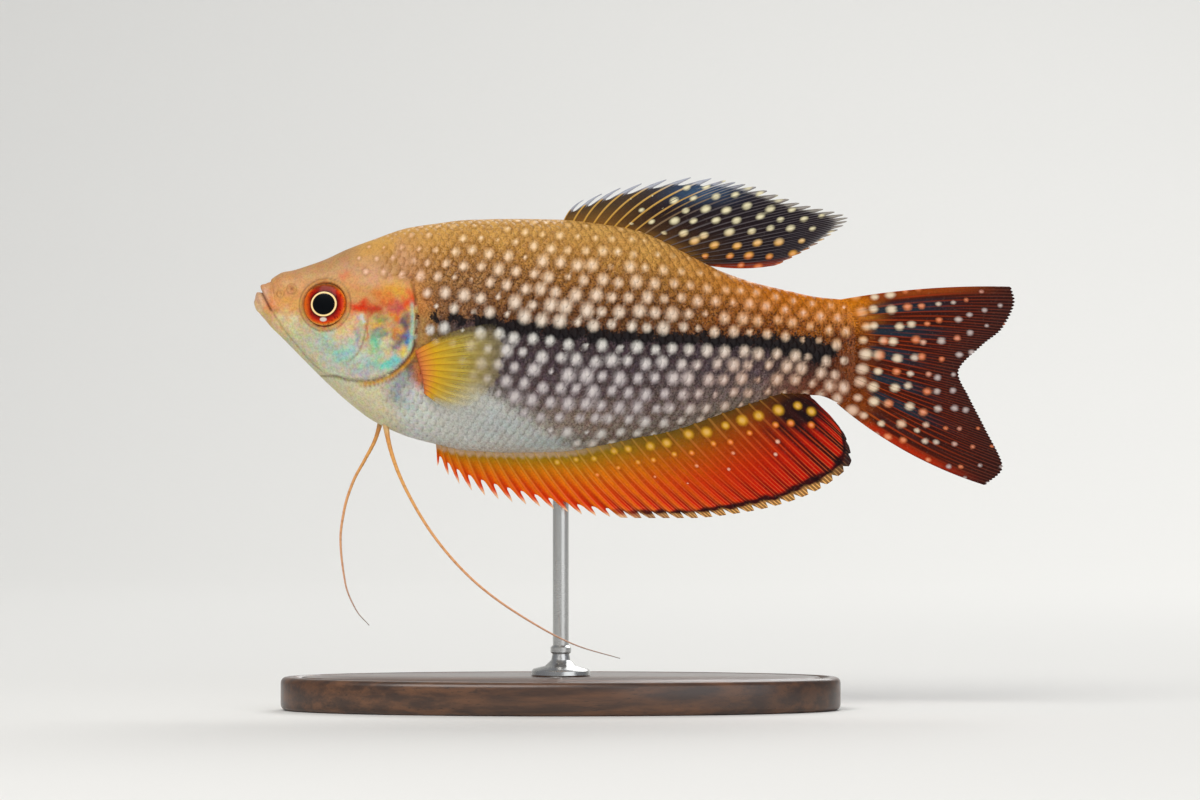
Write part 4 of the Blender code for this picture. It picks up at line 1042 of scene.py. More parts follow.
class GOURAMI_OT_scales(bpy.types.Operator):
    """Lays overlapping scales over the torso and the tail stalk"""

    bl_idname = "gourami.scales"
    bl_label = "Scales"

    def execute(self, context):
        settings = context.scene.gourami_skin
        template = scale_template()
        material = fish_material("scaled_fish_skin", roughness=0.46, coat=0.07)
        for name, side, seed in SIDES:
            roots, angles = scale_roots(settings.scale_step / MM, settings.scale_row / MM, seed)
            mesh = self.lay(f"scales_{name}", side, seed, roots, angles * side, *template, settings)
            finish(added(mesh.name, mesh), material, BODY_NODES)
        return {"FINISHED"}

    def lay(self, name, side, seed, roots, root_angle, points, faces, settings):
        a, b, c = points.T
        half_length, half_width = settings.scale_step / MM * 1.02, settings.scale_row / MM * 1.12
        x = np.clip((roots[:, None] + a * half_length).ravel(), 0.5, BODY_END - 0.02)
        step = 0.002
        ahead, before = body_surface(roots, root_angle + step), body_surface(roots, root_angle - step)
        reach = half_width * 2 * step / np.maximum(np.linalg.norm(ahead - before, axis=1), 2 * step * 1.2)
        angle = (root_angle[:, None] - side * b * reach[:, None]).ravel()
        raised = settings.scale_lift / MM * (0.35 + 0.65 * ramp(16.0, 30.0, roots)) * ramp(89.5, 84.0, roots)
        rise = (0.5 + 0.5 * a) * raised[:, None] - 0.05 * (a < -0.4)
        rise = rise - 0.02 * b**2 + 0.1 * c - 0.06 * ramp(19.0, 15.5, roots)[:, None]
        placed = skin_at(x, angle, rise.ravel())
        mesh = bpy.data.meshes.new(name)
        shifted = [tuple(v + k * len(points) for v in face) for k in range(len(roots)) for face in faces]
        mesh.from_pydata(place(placed).tolist(), [], shifted)
        write_fields(mesh, **dict(zip(("ground", "tint", "pearl", "marks"), skin_fields(placed, seed))))
        self.unwrap(mesh, roots, root_angle, points)
        return mesh

    def unwrap(self, mesh, roots, root_angle, points):
        """Each scale is a small patch at its root's place on the opened-out flank."""
        patch, margin = 0.003, 0.02
        opened = np.stack([roots / BODY_END, np.abs(root_angle) / math.pi], axis=1)
        centres = margin + (1 - 2 * margin) * opened
        places = (centres[:, None, :] + points[None, :, :2] * patch / 2).reshape(-1, 2)
        index = np.empty(len(mesh.loops), np.int32)
        mesh.loops.foreach_get("vertex_index", index)
        layer = mesh.uv_layers.new(name="OFBake")
        layer.data.foreach_set("uv", places[index].astype(np.float32).ravel())


class GOURAMI_OT_eyes(bpy.types.Operator):
    """Sets a glass eye in each side of the head"""

    bl_idname = "gourami.eyes"
    bl_label = "Eyes"

    def execute(self, context):
        material = eye_material()
        for name, side, _ in SIDES:
            centre, normal, back, up = eye_seat(side)
            deselect()
            bpy.ops.mesh.primitive_uv_sphere_add(segments=96, ring_count=64, radius=1.0)
            eye = made(f"glass_eye_{name}")
            a, b, c = corners(eye).T
            depth = np.where(c > 0, EYE_BULGE, EYE_DEPTH)
            ball = np.stack([a * EYE_RADIUS, b * EYE_RADIUS, c * depth], axis=1)
            set_corners(eye, place(centre + ball @ np.stack([back, up, normal])))
            outward(eye)
            write_fields(eye.data, iris=ball)
            finish(eye, material, [f"eye_{name}"])
        return {"FINISHED"}


# Fins


def back_root(x):
    return np.stack([x, body_profile(x)[0] - FIN_ROOT_DEPTH], axis=1)


def belly_root(x):
    return np.stack([x, body_profile(x)[1] + FIN_ROOT_DEPTH], axis=1)


def tail_root(z):
    back, belly = (v[0] for v in body_profile(np.array([TAIL_BASE_X]))[:2])
    share = (z - (back + belly) / 2) / ((back - belly) / 2)
    bulge = TAIL_BASE_BULGE * np.sqrt(np.clip(1 - share**2, 0, 1))
    return np.stack([TAIL_BASE_X + bulge - TAIL_FIN_ROOT_DEPTH, z], axis=1)


def fan(far, roots, tips, bows):
    """Points of bowed rays in the fin's plane."""
    way = tips - roots
    across = np.stack([-way[:, 1], way[:, 0]], axis=1) / np.linalg.norm(way, axis=1, keepdims=True)
    return roots + way * far[:, None] + across * (bows * 4 * far * (1 - far))[:, None]


def ray_columns(count, each, spines):
    """Places of the fin's columns in rays: even for branched rays, closer together beside each spine."""
    even = np.linspace(-0.5, 0.5, each + 1)[:-1]
    pinched = np.sign(even) * np.abs(even * 2) ** 1.35 / 2
    steps = np.where(np.arange(count)[:, None] < spines, pinched, even)
    places = (np.arange(count)[:, None] + steps).ravel()
    return np.unique(np.append(np.clip(places, 0, count - 1), count - 1))


def evened(keys, share):
    """Where to read the key rays so that the tips stand evenly apart along the fin's edge."""
    fine = np.linspace(0, 1, 300)
    walked = walk(through(np.linspace(0, 1, len(keys)), keys)(fine)[:, 1:3])
    return np.interp(share, walked / walked[-1], fine)


def ridge(rays, far, spines):
    """How much of a ray's thickness each point has: a spine is one ridge, a ray forks twice."""
    offset = rays - np.round(rays)
    branched = rays > spines - 0.5
    fork = 0.13 * ramp(0.25, 0.7, far) * branched
    single = np.maximum(bell(offset - fork, 0.085), bell(offset + fork, 0.085))
    apart = 0.3 * ramp(0.5, 1.0, far)
    outer = np.maximum(bell(offset - apart, 0.07), bell(offset + apart, 0.07)) * ramp(0.5, 0.8, far)
    return np.maximum(single, outer * branched * 0.8)


def fin_grid(name, count, spines, each, rows):
    """A flat grid: the piece, then each point's place in rays, its row and its distance from a ray."""
    places = ray_columns(count, each, spines)
    deselect()
    bpy.ops.mesh.primitive_grid_add(x_subdivisions=len(places) - 1, y_subdivisions=rows, size=2.0)
    piece = made(name)
    flat = corners(piece)
    rays = places[np.round((flat[:, 0] + 1) / 2 * (len(places) - 1)).astype(int)]
    return piece, rays, (flat[:, 1] + 1) / 2, np.abs(rays - np.round(rays))


def build_fin(plan, settings):
    """A fin's sheet, and the measures of its rays, whose tips stand out of the edge."""
    count, spines, keys = plan["rays"], plan["spines"], plan["keys"]
    piece, rays, row, offset = fin_grid(plan["name"], count, spines, plan["columns"], settings.rows)
    share = rays / (count - 1)
    edge = through((0, max(spines, 1) / count, 1), plan["reach"])(share)[:, 0]
    share = evened(keys, share) if plan["evened"] else share
    spread = through(np.linspace(0, 1, len(keys)), keys)(share)
    spiny = rays < spines - 0.4
    spike = np.clip(1 - offset / 0.3, 0, 1) ** 0.6
    teeth, blunt = plan["teeth"]
    comb = np.clip((1 - np.abs(np.mod(rays * teeth + teeth / 2, 1) - 0.5) * 2) * blunt, 0, 1)
    edge = edge - 0.22 * (1 - edge) * np.sin(math.pi * np.mod(rays, 1)) * spiny
    far = row * (edge + (1 - edge) * np.where(spiny, spike, comb))
    roots, tips = plan["root"](spread[:, 0]), spread[:, 1:3]
    height, start, end = plan["wave"]
    x, z = fan(far, roots, tips, spread[:, 3]).T
    points = np.stack([x, height * far**2 * np.sin(start + (end - start) * share), z], axis=1)
    set_corners(piece, place(points))
    ridges = ridge(rays, far, spines) * (1 - 0.75 * far)
    thick = settings.membrane / MM * (1 - 0.45 * far) + (settings.ray - settings.membrane) / MM * ridges
    swell, swell_length, pointed = plan["swell"]
    rounded = np.sqrt(1 - (2 * rays / (count - 1) - 1) ** 2) if pointed else 1.0
    thick = thick + swell * bell(far * np.linalg.norm(tips - roots, axis=1), swell_length) * rounded
    return types.SimpleNamespace(
        piece=piece, points=points, x=x, z=z, rays=rays, far=far, share=share, thick=thick, spines=spines,
        bare=np.clip((far - edge) / (1 - edge), 0, 1))


def thicken(piece, thick):
    """Gives a fin's sheet this thickness in millimetres at each point."""
    most = float(thick.max())
    group = piece.vertex_groups.new(name="thickness")
    for index, weight in enumerate(thick / most):
        group.add([index], float(weight), "REPLACE")
    wall = piece.modifiers.new("wall", "SOLIDIFY")
    wall.thickness = most * MM
    wall.offset = 0.0
    wall.vertex_group = "thickness"
    apply_all(piece)
    piece.vertex_groups.clear()
    outward(piece)


def rows_of_pearls(rng, xs, zs, lean, jitter):
    """Middles in staggered rows over a fin; each row rises by lean along x."""
    spots = []
    for line, z in enumerate(zs):
        x = xs + (xs[1] - xs[0]) / 2 * (line % 2)
        spots.append(np.stack([x, np.zeros(len(x)), z + lean * (x - xs[0])], axis=1))
    spots = np.concatenate(spots)
    return spots + rng.normal(0, jitter, spots.shape) * (1, 0, 1)


def turned(points, degrees):
    """Points turned in the fin's plane, so that an oval's long side lies along x."""
    c, s = math.cos(math.radians(degrees)), math.sin(math.radians(degrees))
    x, z = points[:, 0], points[:, 2]
    return np.stack([x * c + z * s, x * 0, z * c - x * s], axis=1)


def fin_marks(rays, mottle, speck):
    return np.tile((mottle, speck, NO_STRIPE), (len(rays), 1))


def dorsal_colours(fin):
    """Smoky membrane between gold spines, with cream spots that turn orange towards the body."""
    x, z, far, share = fin.x, fin.z, fin.far, fin.share
    edge = ramp(0.0, 0.12, fin.bare)
    tips = laid("#a9adb8", ("#b4afa6", ramp(0.38, 0.55, share)), ("#d08a50", ramp(0.84, 0.92, share)))
    ground = laid(
        by_share({0: "#7a5420", 0.1: "#46301e", 0.3: "#281c1c", 0.7: "#1e1820", 1: "#2a2428"}, far),
        (by_share({0: "#8a6024", 0.4: "#56442e", 1: "#403c40"}, far), 0.75 * ramp(0.42, 0.15, share)),
        ("#44688e", 0.6 * spot(x, z, 67.0, 16.2, 5.0, 1.6)),
        ("#9a3416", ramp(0.93, 1.0, share) * ramp(0.05, 0.3, far)),
        (tips, (0.55 + 0.4 * ramp(0.45, 0.36, share)) * edge),
    )
    line = laid(
        by_share({0: "#c8963c", 0.6: "#c89e54", 0.85: "#bcbab8", 1: "#ccd0d8"}, far),
        ("#635c5e", ramp(0.36, 0.5, share)),
        ("#b4b2b4", ramp(0.84, 0.97, far)),
        (tips, edge),
    )
    tint = laid("#e4dab0", ("#eaa844", ramp(11.0, 7.5, z)), ("#dc7434", ramp(7.4, 5.8, z)))
    rng = np.random.default_rng(4)
    spots = rows_of_pearls(rng, np.arange(56.5, 92.0, 3.2), np.arange(4.5, 19.0, 1.75), 0.03, 0.24)
    length = np.interp(spots[:, 0], (56, 60, 64, 80, 88), (0.5, 0.7, 0.85, 0.82, 0.6))
    length = length * rng.uniform(0.8, 1.12, len(spots))
    length[(spots[:, 2] > 13.6) & (spots[:, 0] < 63)] *= 0.3
    slope = 22.0
    pearl = pearl_shares(turned(fin.points, slope), turned(spots, slope), length * 0.94, length * 0.66)
    pearl = pearl + NO_PEARL * ramp(0.1, 0.0, far)
    return ground, tint, line, pearl, fin_marks(fin.rays, 0.12, 0.15), np.where(share < 0.4, 0.95, 0.62)


def anal_colours(fin):
    """Olive at the base, through orange to red at the edge, with a dark band and a pale fringe."""
    x, z, rays, far, share = fin.x, fin.z, fin.rays, fin.far, fin.share
    front = {0: "#94842e", 0.12: "#a88614", 0.3: "#ca7604", 0.55: "#e04e02", 0.8: "#ea2c00", 1: "#ea3402"}
    rear = {0: "#5a3c16", 0.12: "#82400e", 0.3: "#9c2804", 0.6: "#b41402", 1: "#ba0a02"}
    between = -np.cos(2 * math.pi * rays)
    phase = np.mod(rays, 1)
    fold_light_and_shade = ramp(0.12, 0.45, far) * ramp(0.6, 0.4, share)
    dark = np.clip(1.5 * spot(x, z, 81.6, -16.6, 4.0, 2.9), 0, 1)
    outer = ramp(0.3, 0.42, share) * ramp(0.86, 0.895, far + 0.016 * wobble(x, z, 1.5, 9))
    tips = laid("#f4c8a0", ("#f0b468", ramp(0.25, 0.5, share)), ("#3c3230", ramp(0.69, 0.76, share)))
    fringe = ramp(0.925, 0.945, far + 0.01 * wobble(x, z, 0.9, 12)) * ramp(0.3, 0.5, share)
    tipped = np.maximum(ramp(0.3, 0.95, fin.bare) * ramp(0.42, 0.36, share), fringe)
    ground = laid(
        by_share(front, far),
        (by_share(rear, far), ramp(0.25, 0.75, share)),
        ("#520c08", 0.7 * ramp(0.1, 0.9, between) * ramp(0.45, 0.85, far) * ramp(0.2, 0.4, share)),
        # Painted shade on one side of each fold of the membrane beside the front spines, painted light on the
        # other
        ("#8e3206", 0.4 * fold_light_and_shade * bell(phase - 0.24, 0.1)),
        ("#f88a14", 0.6 * fold_light_and_shade * bell(phase - 0.78, 0.2)),
        ("#1c0c0c", 0.9 * ramp(-0.35, 0.35, between) * ramp(0.62, 0.74, share) * ramp(0.2, 0.34, far)),
        ("#1e1214", 0.94 * dark),
        ("#180c10", 0.95 * outer),
        (tips, 0.95 * tipped * (1 - 0.65 * fringe * (rays > 14))),
    )
    line = laid(
        by_share({0: "#c8a848", 0.4: "#e09030", 0.8: "#f0683c", 1: "#f0c090"}, far),
        (by_share({0: "#b08038", 0.5: "#de4818", 1: "#d8703c"}, far), ramp(0.3, 0.6, share)),
        (tips, tipped),
        (ground, np.maximum(outer * (1 - tipped), dark)),
    )
    depth = body_profile(x)[1] - z
    sheath = ramp(1.0, 0.35, depth + 0.16 * np.cos(2 * math.pi * x / 1.32)) * ramp(0.5, 0.3, share)
    ground = laid(ground, ("#e6c4a4", 0.75 * sheath))
    tint = laid("#dca424", ("#ea7a24", ramp(2.6, 4.6, depth)), ("#ecc0a8", ramp(5.6, 7.2, depth)))
    rng = np.random.default_rng(8)
    spots, sizes = [], []
    for away, step, first, size in (
            (1.35, 2.7, 46.0, 1.0), (3.6, 2.9, 51.5, 0.68), (6.0, 6.0, 60.0, 0.5), (8.1, 6.6, 65.0, 0.44)):
        row = np.arange(first, 84.0, step)
        row = row + rng.normal(0, 0.3, len(row))
        height = body_profile(row)[1] - away - rng.normal(0, 0.25, len(row)) - 0.7 * ramp(60.0, 78.0, row)
        spots.append(np.stack([row, row * 0, height], axis=1))
        sizes.append(size * rng.uniform(0.8, 1.1, len(row)) * (0.62 + 0.38 * ramp(first, first + 16, row)))
    spots, sizes = np.concatenate(spots), np.concatenate(sizes)
    slope = -35.0
    pearl = pearl_shares(turned(fin.points, slope), turned(spots, slope), sizes * 0.88, sizes * 0.76)
    return ground, tint, line, pearl, fin_marks(rays, 0.2, 0.18), 0.5 + 0.5 * tipped


def tail_spots():
    """Middles and sizes of the tail's spots, in staggered arcs beyond the stalk's own pearls."""
    rng = np.random.default_rng(6)
    spots, sizes = [], []
    for ring, radius in enumerate(np.arange(21.6, 46.0, 2.35)):
        step = (2.15 + 0.04 * (radius - 20)) / radius
        turn = np.arange(-0.95, 0.7, step) + step / 2 * (ring % 2)
        turn = turn + rng.normal(0, 0.1 * step, len(turn))
        reach = np.maximum(radius + rng.normal(0, 0.45, len(turn)), 21.4)
        spots.append(np.stack([70 + reach * np.cos(turn), turn * 0, -7.65 + reach * np.sin(turn)], axis=1))
        size = np.interp(radius, (20, 24, 30, 40, 46), (0.95, 0.82, 0.66, 0.46, 0.36))
        sizes.append(size * rng.uniform(0.75, 1.15, len(turn)))
    return np.concatenate(spots), np.concatenate(sizes)


def tail_colours(fin):
    """Brick-red rays with slate-blue membrane between them, and pale spots that fade outwards."""
    x, z, rays, far, share = fin.x, fin.z, fin.rays, fin.far, fin.share
    gap = ramp(0.85, 0.5, np.abs(np.mod(rays + 0.2, 3) - 1.5))
    inside = ramp(0.06, 0.14, share) * ramp(0.94, 0.86, share)
    wedges = gap * inside * ramp(0.08, 0.18, far) * ramp(0.8, 0.4, far)
    thin = ramp(0.0, 0.7, -np.cos(4 * math.pi * rays)) * ramp(0.4, 0.6, far)
    rim = np.clip(ramp(0.09, 0.02, share) + 0.9 * ramp(0.952, 0.985, share), 0, 1)
    ground = laid(
        by_share({0: "#8c4818", 0.12: "#6e3014", 0.25: "#481a0f", 0.6: "#42170f", 1: "#341815"}, far),
        ("#b87220", ramp(0.4, 0.1, share) * ramp(0.3, 0.05, far)),
        ("#1e2e3b", 0.95 * wedges),
        ("#221418", 0.7 * thin * inside),
        (laid("#984414", ("#b42c08", ramp(0.5, 0.9, share))), rim * ramp(1.0, 0.6, far)),
    )
    line = by_share({0: "#b06424", 0.3: "#9e3612", 0.7: "#7a2a12", 1: "#5a3026"}, far)
    line = laid(line, ("#684438", fin.bare))
    spots, sizes = tail_spots()
    stalk_pearls, lengths, heights = body_pearls(SIDES[0][2])
    rear = stalk_pearls[:, 0] > 84.0
    stalk_pearls, lengths, heights = stalk_pearls[rear] * (1, 0, 1), lengths[rear], heights[rear]
    apart = np.linalg.norm(spots[:, None] - stalk_pearls[None], axis=2).min(1)
    spots, sizes = spots[apart > 1.55], sizes[apart > 1.55]
    nearest = np.hypot(x[:, None] - spots[:, 0], z[:, None] - spots[:, 2]).argmin(1)
    orange = ramp(0.1, 0.5, wobble(spots[:, 0], spots[:, 2], 1.7, 5))[nearest] * ramp(0.15, 0.3, far)
    tint = laid("#e2ccac", ("#b4a4a0", ramp(0.3, 0.8, far)), ("#dc6a20", 0.85 * orange))
    level = fin.points * (1, 0, 1)
    pearl = pearl_shares(level, spots, sizes * 1.1, sizes * 0.92)
    pearl = pearl + 0.07 * (1 + np.cos(4 * math.pi * rays)) * ramp(0.1, 0.35, far)
    pearl = np.minimum(pearl, pearl_shares(level, stalk_pearls, lengths, heights))
    onto = np.minimum(x, TAIL_BASE_X - 0.5)
    back, belly = body_profile(onto)[:2]
    flank = body_surface(onto, -skin_angle(onto, np.clip(z, belly + 0.2, back - 0.2)))
    skin_ground, skin_tint, _, skin_marks = skin_fields(flank, SIDES[0][2])
    joined = ramp(93.4, 90.4, x + 0.5 * np.cos(2 * math.pi * rays))
    marks = fin_marks(rays, 0.15, 0.2)
    marks[:, 1] += (skin_marks[:, 1] - marks[:, 1]) * joined
    ground, tint = laid(ground, (skin_ground, joined)), laid(tint, (skin_tint, joined))
    return ground, tint, line, pearl, marks, (0.85 - 0.6 * wedges) * (1 - joined)


# Swell is the root's added thickness, how far it reaches, and whether it dies out at both ends
UPRIGHT_FINS = (
    {"name": "fin_dorsal", "keys": DORSAL, "root": back_root, "rays": 19, "spines": 7, "evened": False,
     "reach": (0.45, 0.85, 0.96), "teeth": (2, 1.3), "wave": (0.8, 0.6, 7.5), "swell": (0.7, 1.0, False),
     "columns": 12, "colours": dorsal_colours, "nodes": ["dorsal_fin"], "slot": "dark_fin"},
    {"name": "fin_anal", "keys": ANAL, "root": belly_root, "rays": 37, "spines": 14, "evened": True,
     "reach": (0.6, 0.88, 0.98), "teeth": (1, 2.0), "wave": (0.5, 0.6, 7.5), "swell": (0.9, 1.2, False),
     "columns": 12, "colours": anal_colours, "nodes": ["anal_fin"], "slot": "red_fin"},
    {"name": "fin_tail", "keys": CAUDAL, "root": tail_root, "rays": 18, "spines": 0, "evened": True,
     "reach": (0.991, 0.984, 0.991), "teeth": (4, 1.3), "wave": (0.7, 0.6, 6.2), "swell": (0.8, 2.6, True),
     "columns": 16, "colours": tail_colours, "nodes": ["tail_fin_upper", "tail_fin_lower"],
     "slot": "tail_fin"},
)


class GOURAMI_OT_upright_fins(bpy.types.Operator):
    """Adds the dorsal, anal and tail fins"""

    bl_idname = "gourami.upright_fins"
    bl_label = "Upright Fins"

    def execute(self, context):
        settings = context.scene.gourami_fins
        material = fish_material("fin_membrane", has_rays=True, coat=0.03, heart_light=0.15, shine=0.06)
        for plan in UPRIGHT_FINS:
            fin = build_fin(plan, settings)
            ground, tint, line, pearl, marks, strength = plan["colours"](fin)
            # A spine's line doesn't fork
            spines = fin.spines
            forked = fin.far * ramp(spines - 1.0, spines + 0.5, fin.rays) if spines else fin.far
            rays = np.stack([fin.rays, forked, strength], axis=1)
            write_fields(
                fin.piece.data, ground=ground, tint=tint, line=line, pearl=pearl, marks=marks, rays=rays)
            thicken(fin.piece, fin.thick)
            finish(fin.piece, material, plan["nodes"])
        return {"FINISHED"}


class GOURAMI_OT_pectoral_fins(bpy.types.Operator):
    """Adds the thin, half clear fan behind each gill cover"""

    bl_idname = "gourami.pectoral_fins"
    bl_label = "Pectoral Fins"

    def execute(self, context):
        rows = context.scene.gourami_fins.rows * 3 // 4
        material = fish_material(
            "clear_fin_membrane", has_rays=True, see_through=True, roughness=0.4, coat=0.06)
        for name, side, _ in SIDES:
            piece = self.add(f"fin_pectoral_{name}", side, rows)
            finish(piece, material, [f"pectoral_fin_{name}"])
        return {"FINISHED"}

    def add(self, name, side, rows):
        piece, rays, row, offset = fin_grid(name, PECTORAL_RAYS, PECTORAL_RAYS, 8, rows)
        share = rays / (PECTORAL_RAYS - 1)
        spread = through(np.linspace(0, 1, len(PECTORAL)), PECTORAL)(share)
        far = row * (0.96 + 0.04 * ramp(0.3, 0.02, offset))
        roots, tips = spread[:, :2], spread[:, 2:4]
        x, z = fan(far, roots, tips, spread[:, 4]).T
        angle = skin_angle(roots[:, 0], roots[:, 1]) * side
        base = body_surface(roots[:, 0], angle)[:, 1]
        length = np.hypot(x - roots[:, 0], z - roots[:, 1])
        out = length * math.tan(PECTORAL_SPREAD) * (1 - 0.25 * far) + 0.25
        ripple = 0.12 * np.cos(2 * math.pi * rays) * ramp(0.1, 0.6, far)
        set_corners(piece, place(np.stack([x, base + side * (out + ripple), z], axis=1)))
        ridges = ridge(rays, far, 0)
        ground = by_share({0: "#cf6a44", 0.08: "#e89636", 0.2: "#e8b820", 0.5: "#dac44c", 1: "#d4c890"}, far)
        line = by_share({0: "#b8541c", 0.3: "#b88a18", 1: "#a08a4c"}, far)
        cover = np.interp(far, (0.0, 0.12, 0.3, 0.5, 0.75, 1.0), (1.0, 0.94, 0.7, 0.46, 0.24, 0.08))
        sides = ramp(-0.02, 0.16, share) * ramp(1.02, 0.84, share)
        cover = cover * (sides + (1 - sides) * ramp(0.35, 0.1, far))
        cover = np.clip(cover + 0.22 * ridges * (1 - far) * ramp(0.05, 0.3, far), 0, 1)
        even = np.ones(len(rays))
        write_fields(
            piece.data, ground=ground, tint=ground, line=line, pearl=even * NO_PEARL, cover=cover,
            marks=fin_marks(rays, 0.1, 0.1), rays=np.stack([rays, far, even * 0.7], axis=1))
        total = np.linalg.norm(tips - roots, axis=1)
        thicken(piece, 0.1 + 0.22 * ridges * (1 - 0.7 * far) + 0.8 * bell(far * total, 1.2))
        return piece


class GOURAMI_OT_feelers(bpy.types.Operator):
    """Adds the two long threads of the pelvic fins"""

    bl_idname = "gourami.feelers"
    bl_label = "Feelers"

    def execute(self, context):
        material = feeler_material()
        for name, way in FEELERS.items():
            piece = self.add(f"feeler_{name}", np.array(way))
            finish(piece, material, [f"feeler_{name}_{n}" for n in (1, 2, 3)])
        return {"FINISHED"}

    def add(self, name, way):
        way[0, 2] = body_profile(way[:1, 0])[1][0] + FEELER_ROOT_DEPTH
        points = place(along(way, FEELER_POINTS))
        share = np.linspace(0, 1, FEELER_POINTS)
        # A thick root, and small joints that die out towards the tip
        joints = 0.012 * np.sin(share * 300) * (1 - share)
        radii = FEELER_RADII(share)[:, 0] + 0.16 * bell(share, 0.045) + joints
        curve = bpy.data.curves.new(name, "CURVE")
        curve.dimensions = "3D"
        curve.bevel_depth = MM
        curve.bevel_resolution = 4
        curve.use_fill_caps = True
        spline = curve.splines.new("POLY")
        spline.points.add(FEELER_POINTS - 1)
        for knot, point, radius in zip(spline.points, points, radii):
            knot.co = (*point, 1.0)
            knot.radius = float(radius)
        select_only(added(name + "_curve", curve))
        bpy.ops.object.convert(target="MESH")
        piece = made(name)
        mesh = bmesh.new()
        mesh.from_mesh(piece.data)
        bmesh.ops.remove_doubles(mesh, verts=mesh.verts, dist=1e-7)
        mesh.to_mesh(piece.data)
        mesh.free()
        outward(piece)
        nearest = np.array([np.argmin(((points - corner) ** 2).sum(1)) for corner in corners(piece)])
        write_fields(piece.data, far=nearest / (FEELER_POINTS - 1))
        return piece


# The rod's outline: shares of its radius, with millimetres down from its top, then up from its foot
ROD_TOP = ((0.0, 0.0), (0.75, 0.0), (1.0, 0.5), (1.0, 3.0), (1.25, 3.2), (1.25, 4.0), (1.0, 4.2))
ROD_FOOT = ((1.0, 4.6), (1.3, 4.3), (1.3, 3.6), (1.05, 3.3), (1.2, 2.4), (2.0, 1.5), (3.4, 1.1), (3.65, 0.8),
            (3.7, 0.2), (3.6, 0.0), (0.0, 0.0))
BASE_COVE = ((1.6, 0.0), (0.5, -0.35), (0.7, 0.0), (0.5, 0.35))  # each inset of the top, and its rise


class GOURAMI_OT_stand(bpy.types.Operator):
    """Adds the oval walnut base and the turned steel rod"""

    bl_idname = "gourami.stand"
    bl_label = "Stand"

    def execute(self, context):
        settings = context.scene.gourami_stand
        self.base(settings)
        self.rod(settings)
        return {"FINISHED"}

    def base(self, settings):
        """An oval plate, its top edge cut to a cove and a rounded shoulder."""
        deselect()
        bpy.ops.mesh.primitive_cylinder_add(vertices=160, radius=1.0, depth=settings.thickness)
        base = made("oval_base")
        middle = np.array((place((ROD_X, 0, 0))[0], 0.0, settings.thickness / 2))
        set_corners(base, corners(base) * (settings.half_length, settings.half_width, 1.0) + middle)
        self.shape_edge(base)
        outward(base)
        finish(base, wood_material(), ["stand_base"])
        keep_edges(base)

    def shape_edge(self, base):
        """Insets the top, sinks a cove and rounds the rims."""
        mesh = bmesh.new()
        mesh.from_mesh(base.data)
        top = max(mesh.faces, key=lambda f: f.calc_center_median().z)
        for inset, rise in BASE_COVE:
            bmesh.ops.inset_region(mesh, faces=[top], thickness=inset * MM, depth=0.0)
            for corner in top.verts:
                corner.co.z += rise * MM
        mesh.to_mesh(base.data)
        mesh.free()
        rounding = base.modifiers.new("rounding", "BEVEL")
        rounding.width = 0.9 * MM
        rounding.segments = 4
        rounding.limit_method = "ANGLE"
        rounding.angle_limit = math.radians(50)
        apply_all(base)

    def rod(self, settings):
        """Half the rod's outline, turned round its axis by Screw."""
        r, low, top = settings.rod_radius, settings.thickness, self.top()
        outline = [(r * wide, 0.0, top - down * MM) for wide, down in ROD_TOP]
        outline += [(r * wide, 0.0, low + up * MM) for wide, up in ROD_FOOT]
        mesh = bpy.data.meshes.new("turned_rod")
        mesh.from_pydata(outline, [(i, i + 1) for i in range(len(outline) - 1)], [])
        rod = added("turned_rod", mesh)
        turn = rod.modifiers.new("turn", "SCREW")
        turn.steps = turn.render_steps = 48
        turn.use_merge_vertices = True
        turn.merge_threshold = 1e-6
        apply_all(rod)
        foot = place((ROD_X, ROD_Y, 0.0))
        rod.data.transform(Matrix.Translation((foot[0], foot[1], 0.0)))
        outward(rod)
        finish(rod, steel_material(), ["stand_rod"])
        keep_edges(rod)

    def top(self):
        """Height at which the whole of the rod's top has gone into the flank, so that it is hidden."""
        points = skin_at(np.full(200, ROD_X), np.linspace(math.pi / 2, math.pi, 200))
        nearest = points[np.argmin(np.abs(points[:, 1] - ROD_Y))]
        return place(nearest)[2] + 2.2 * MM


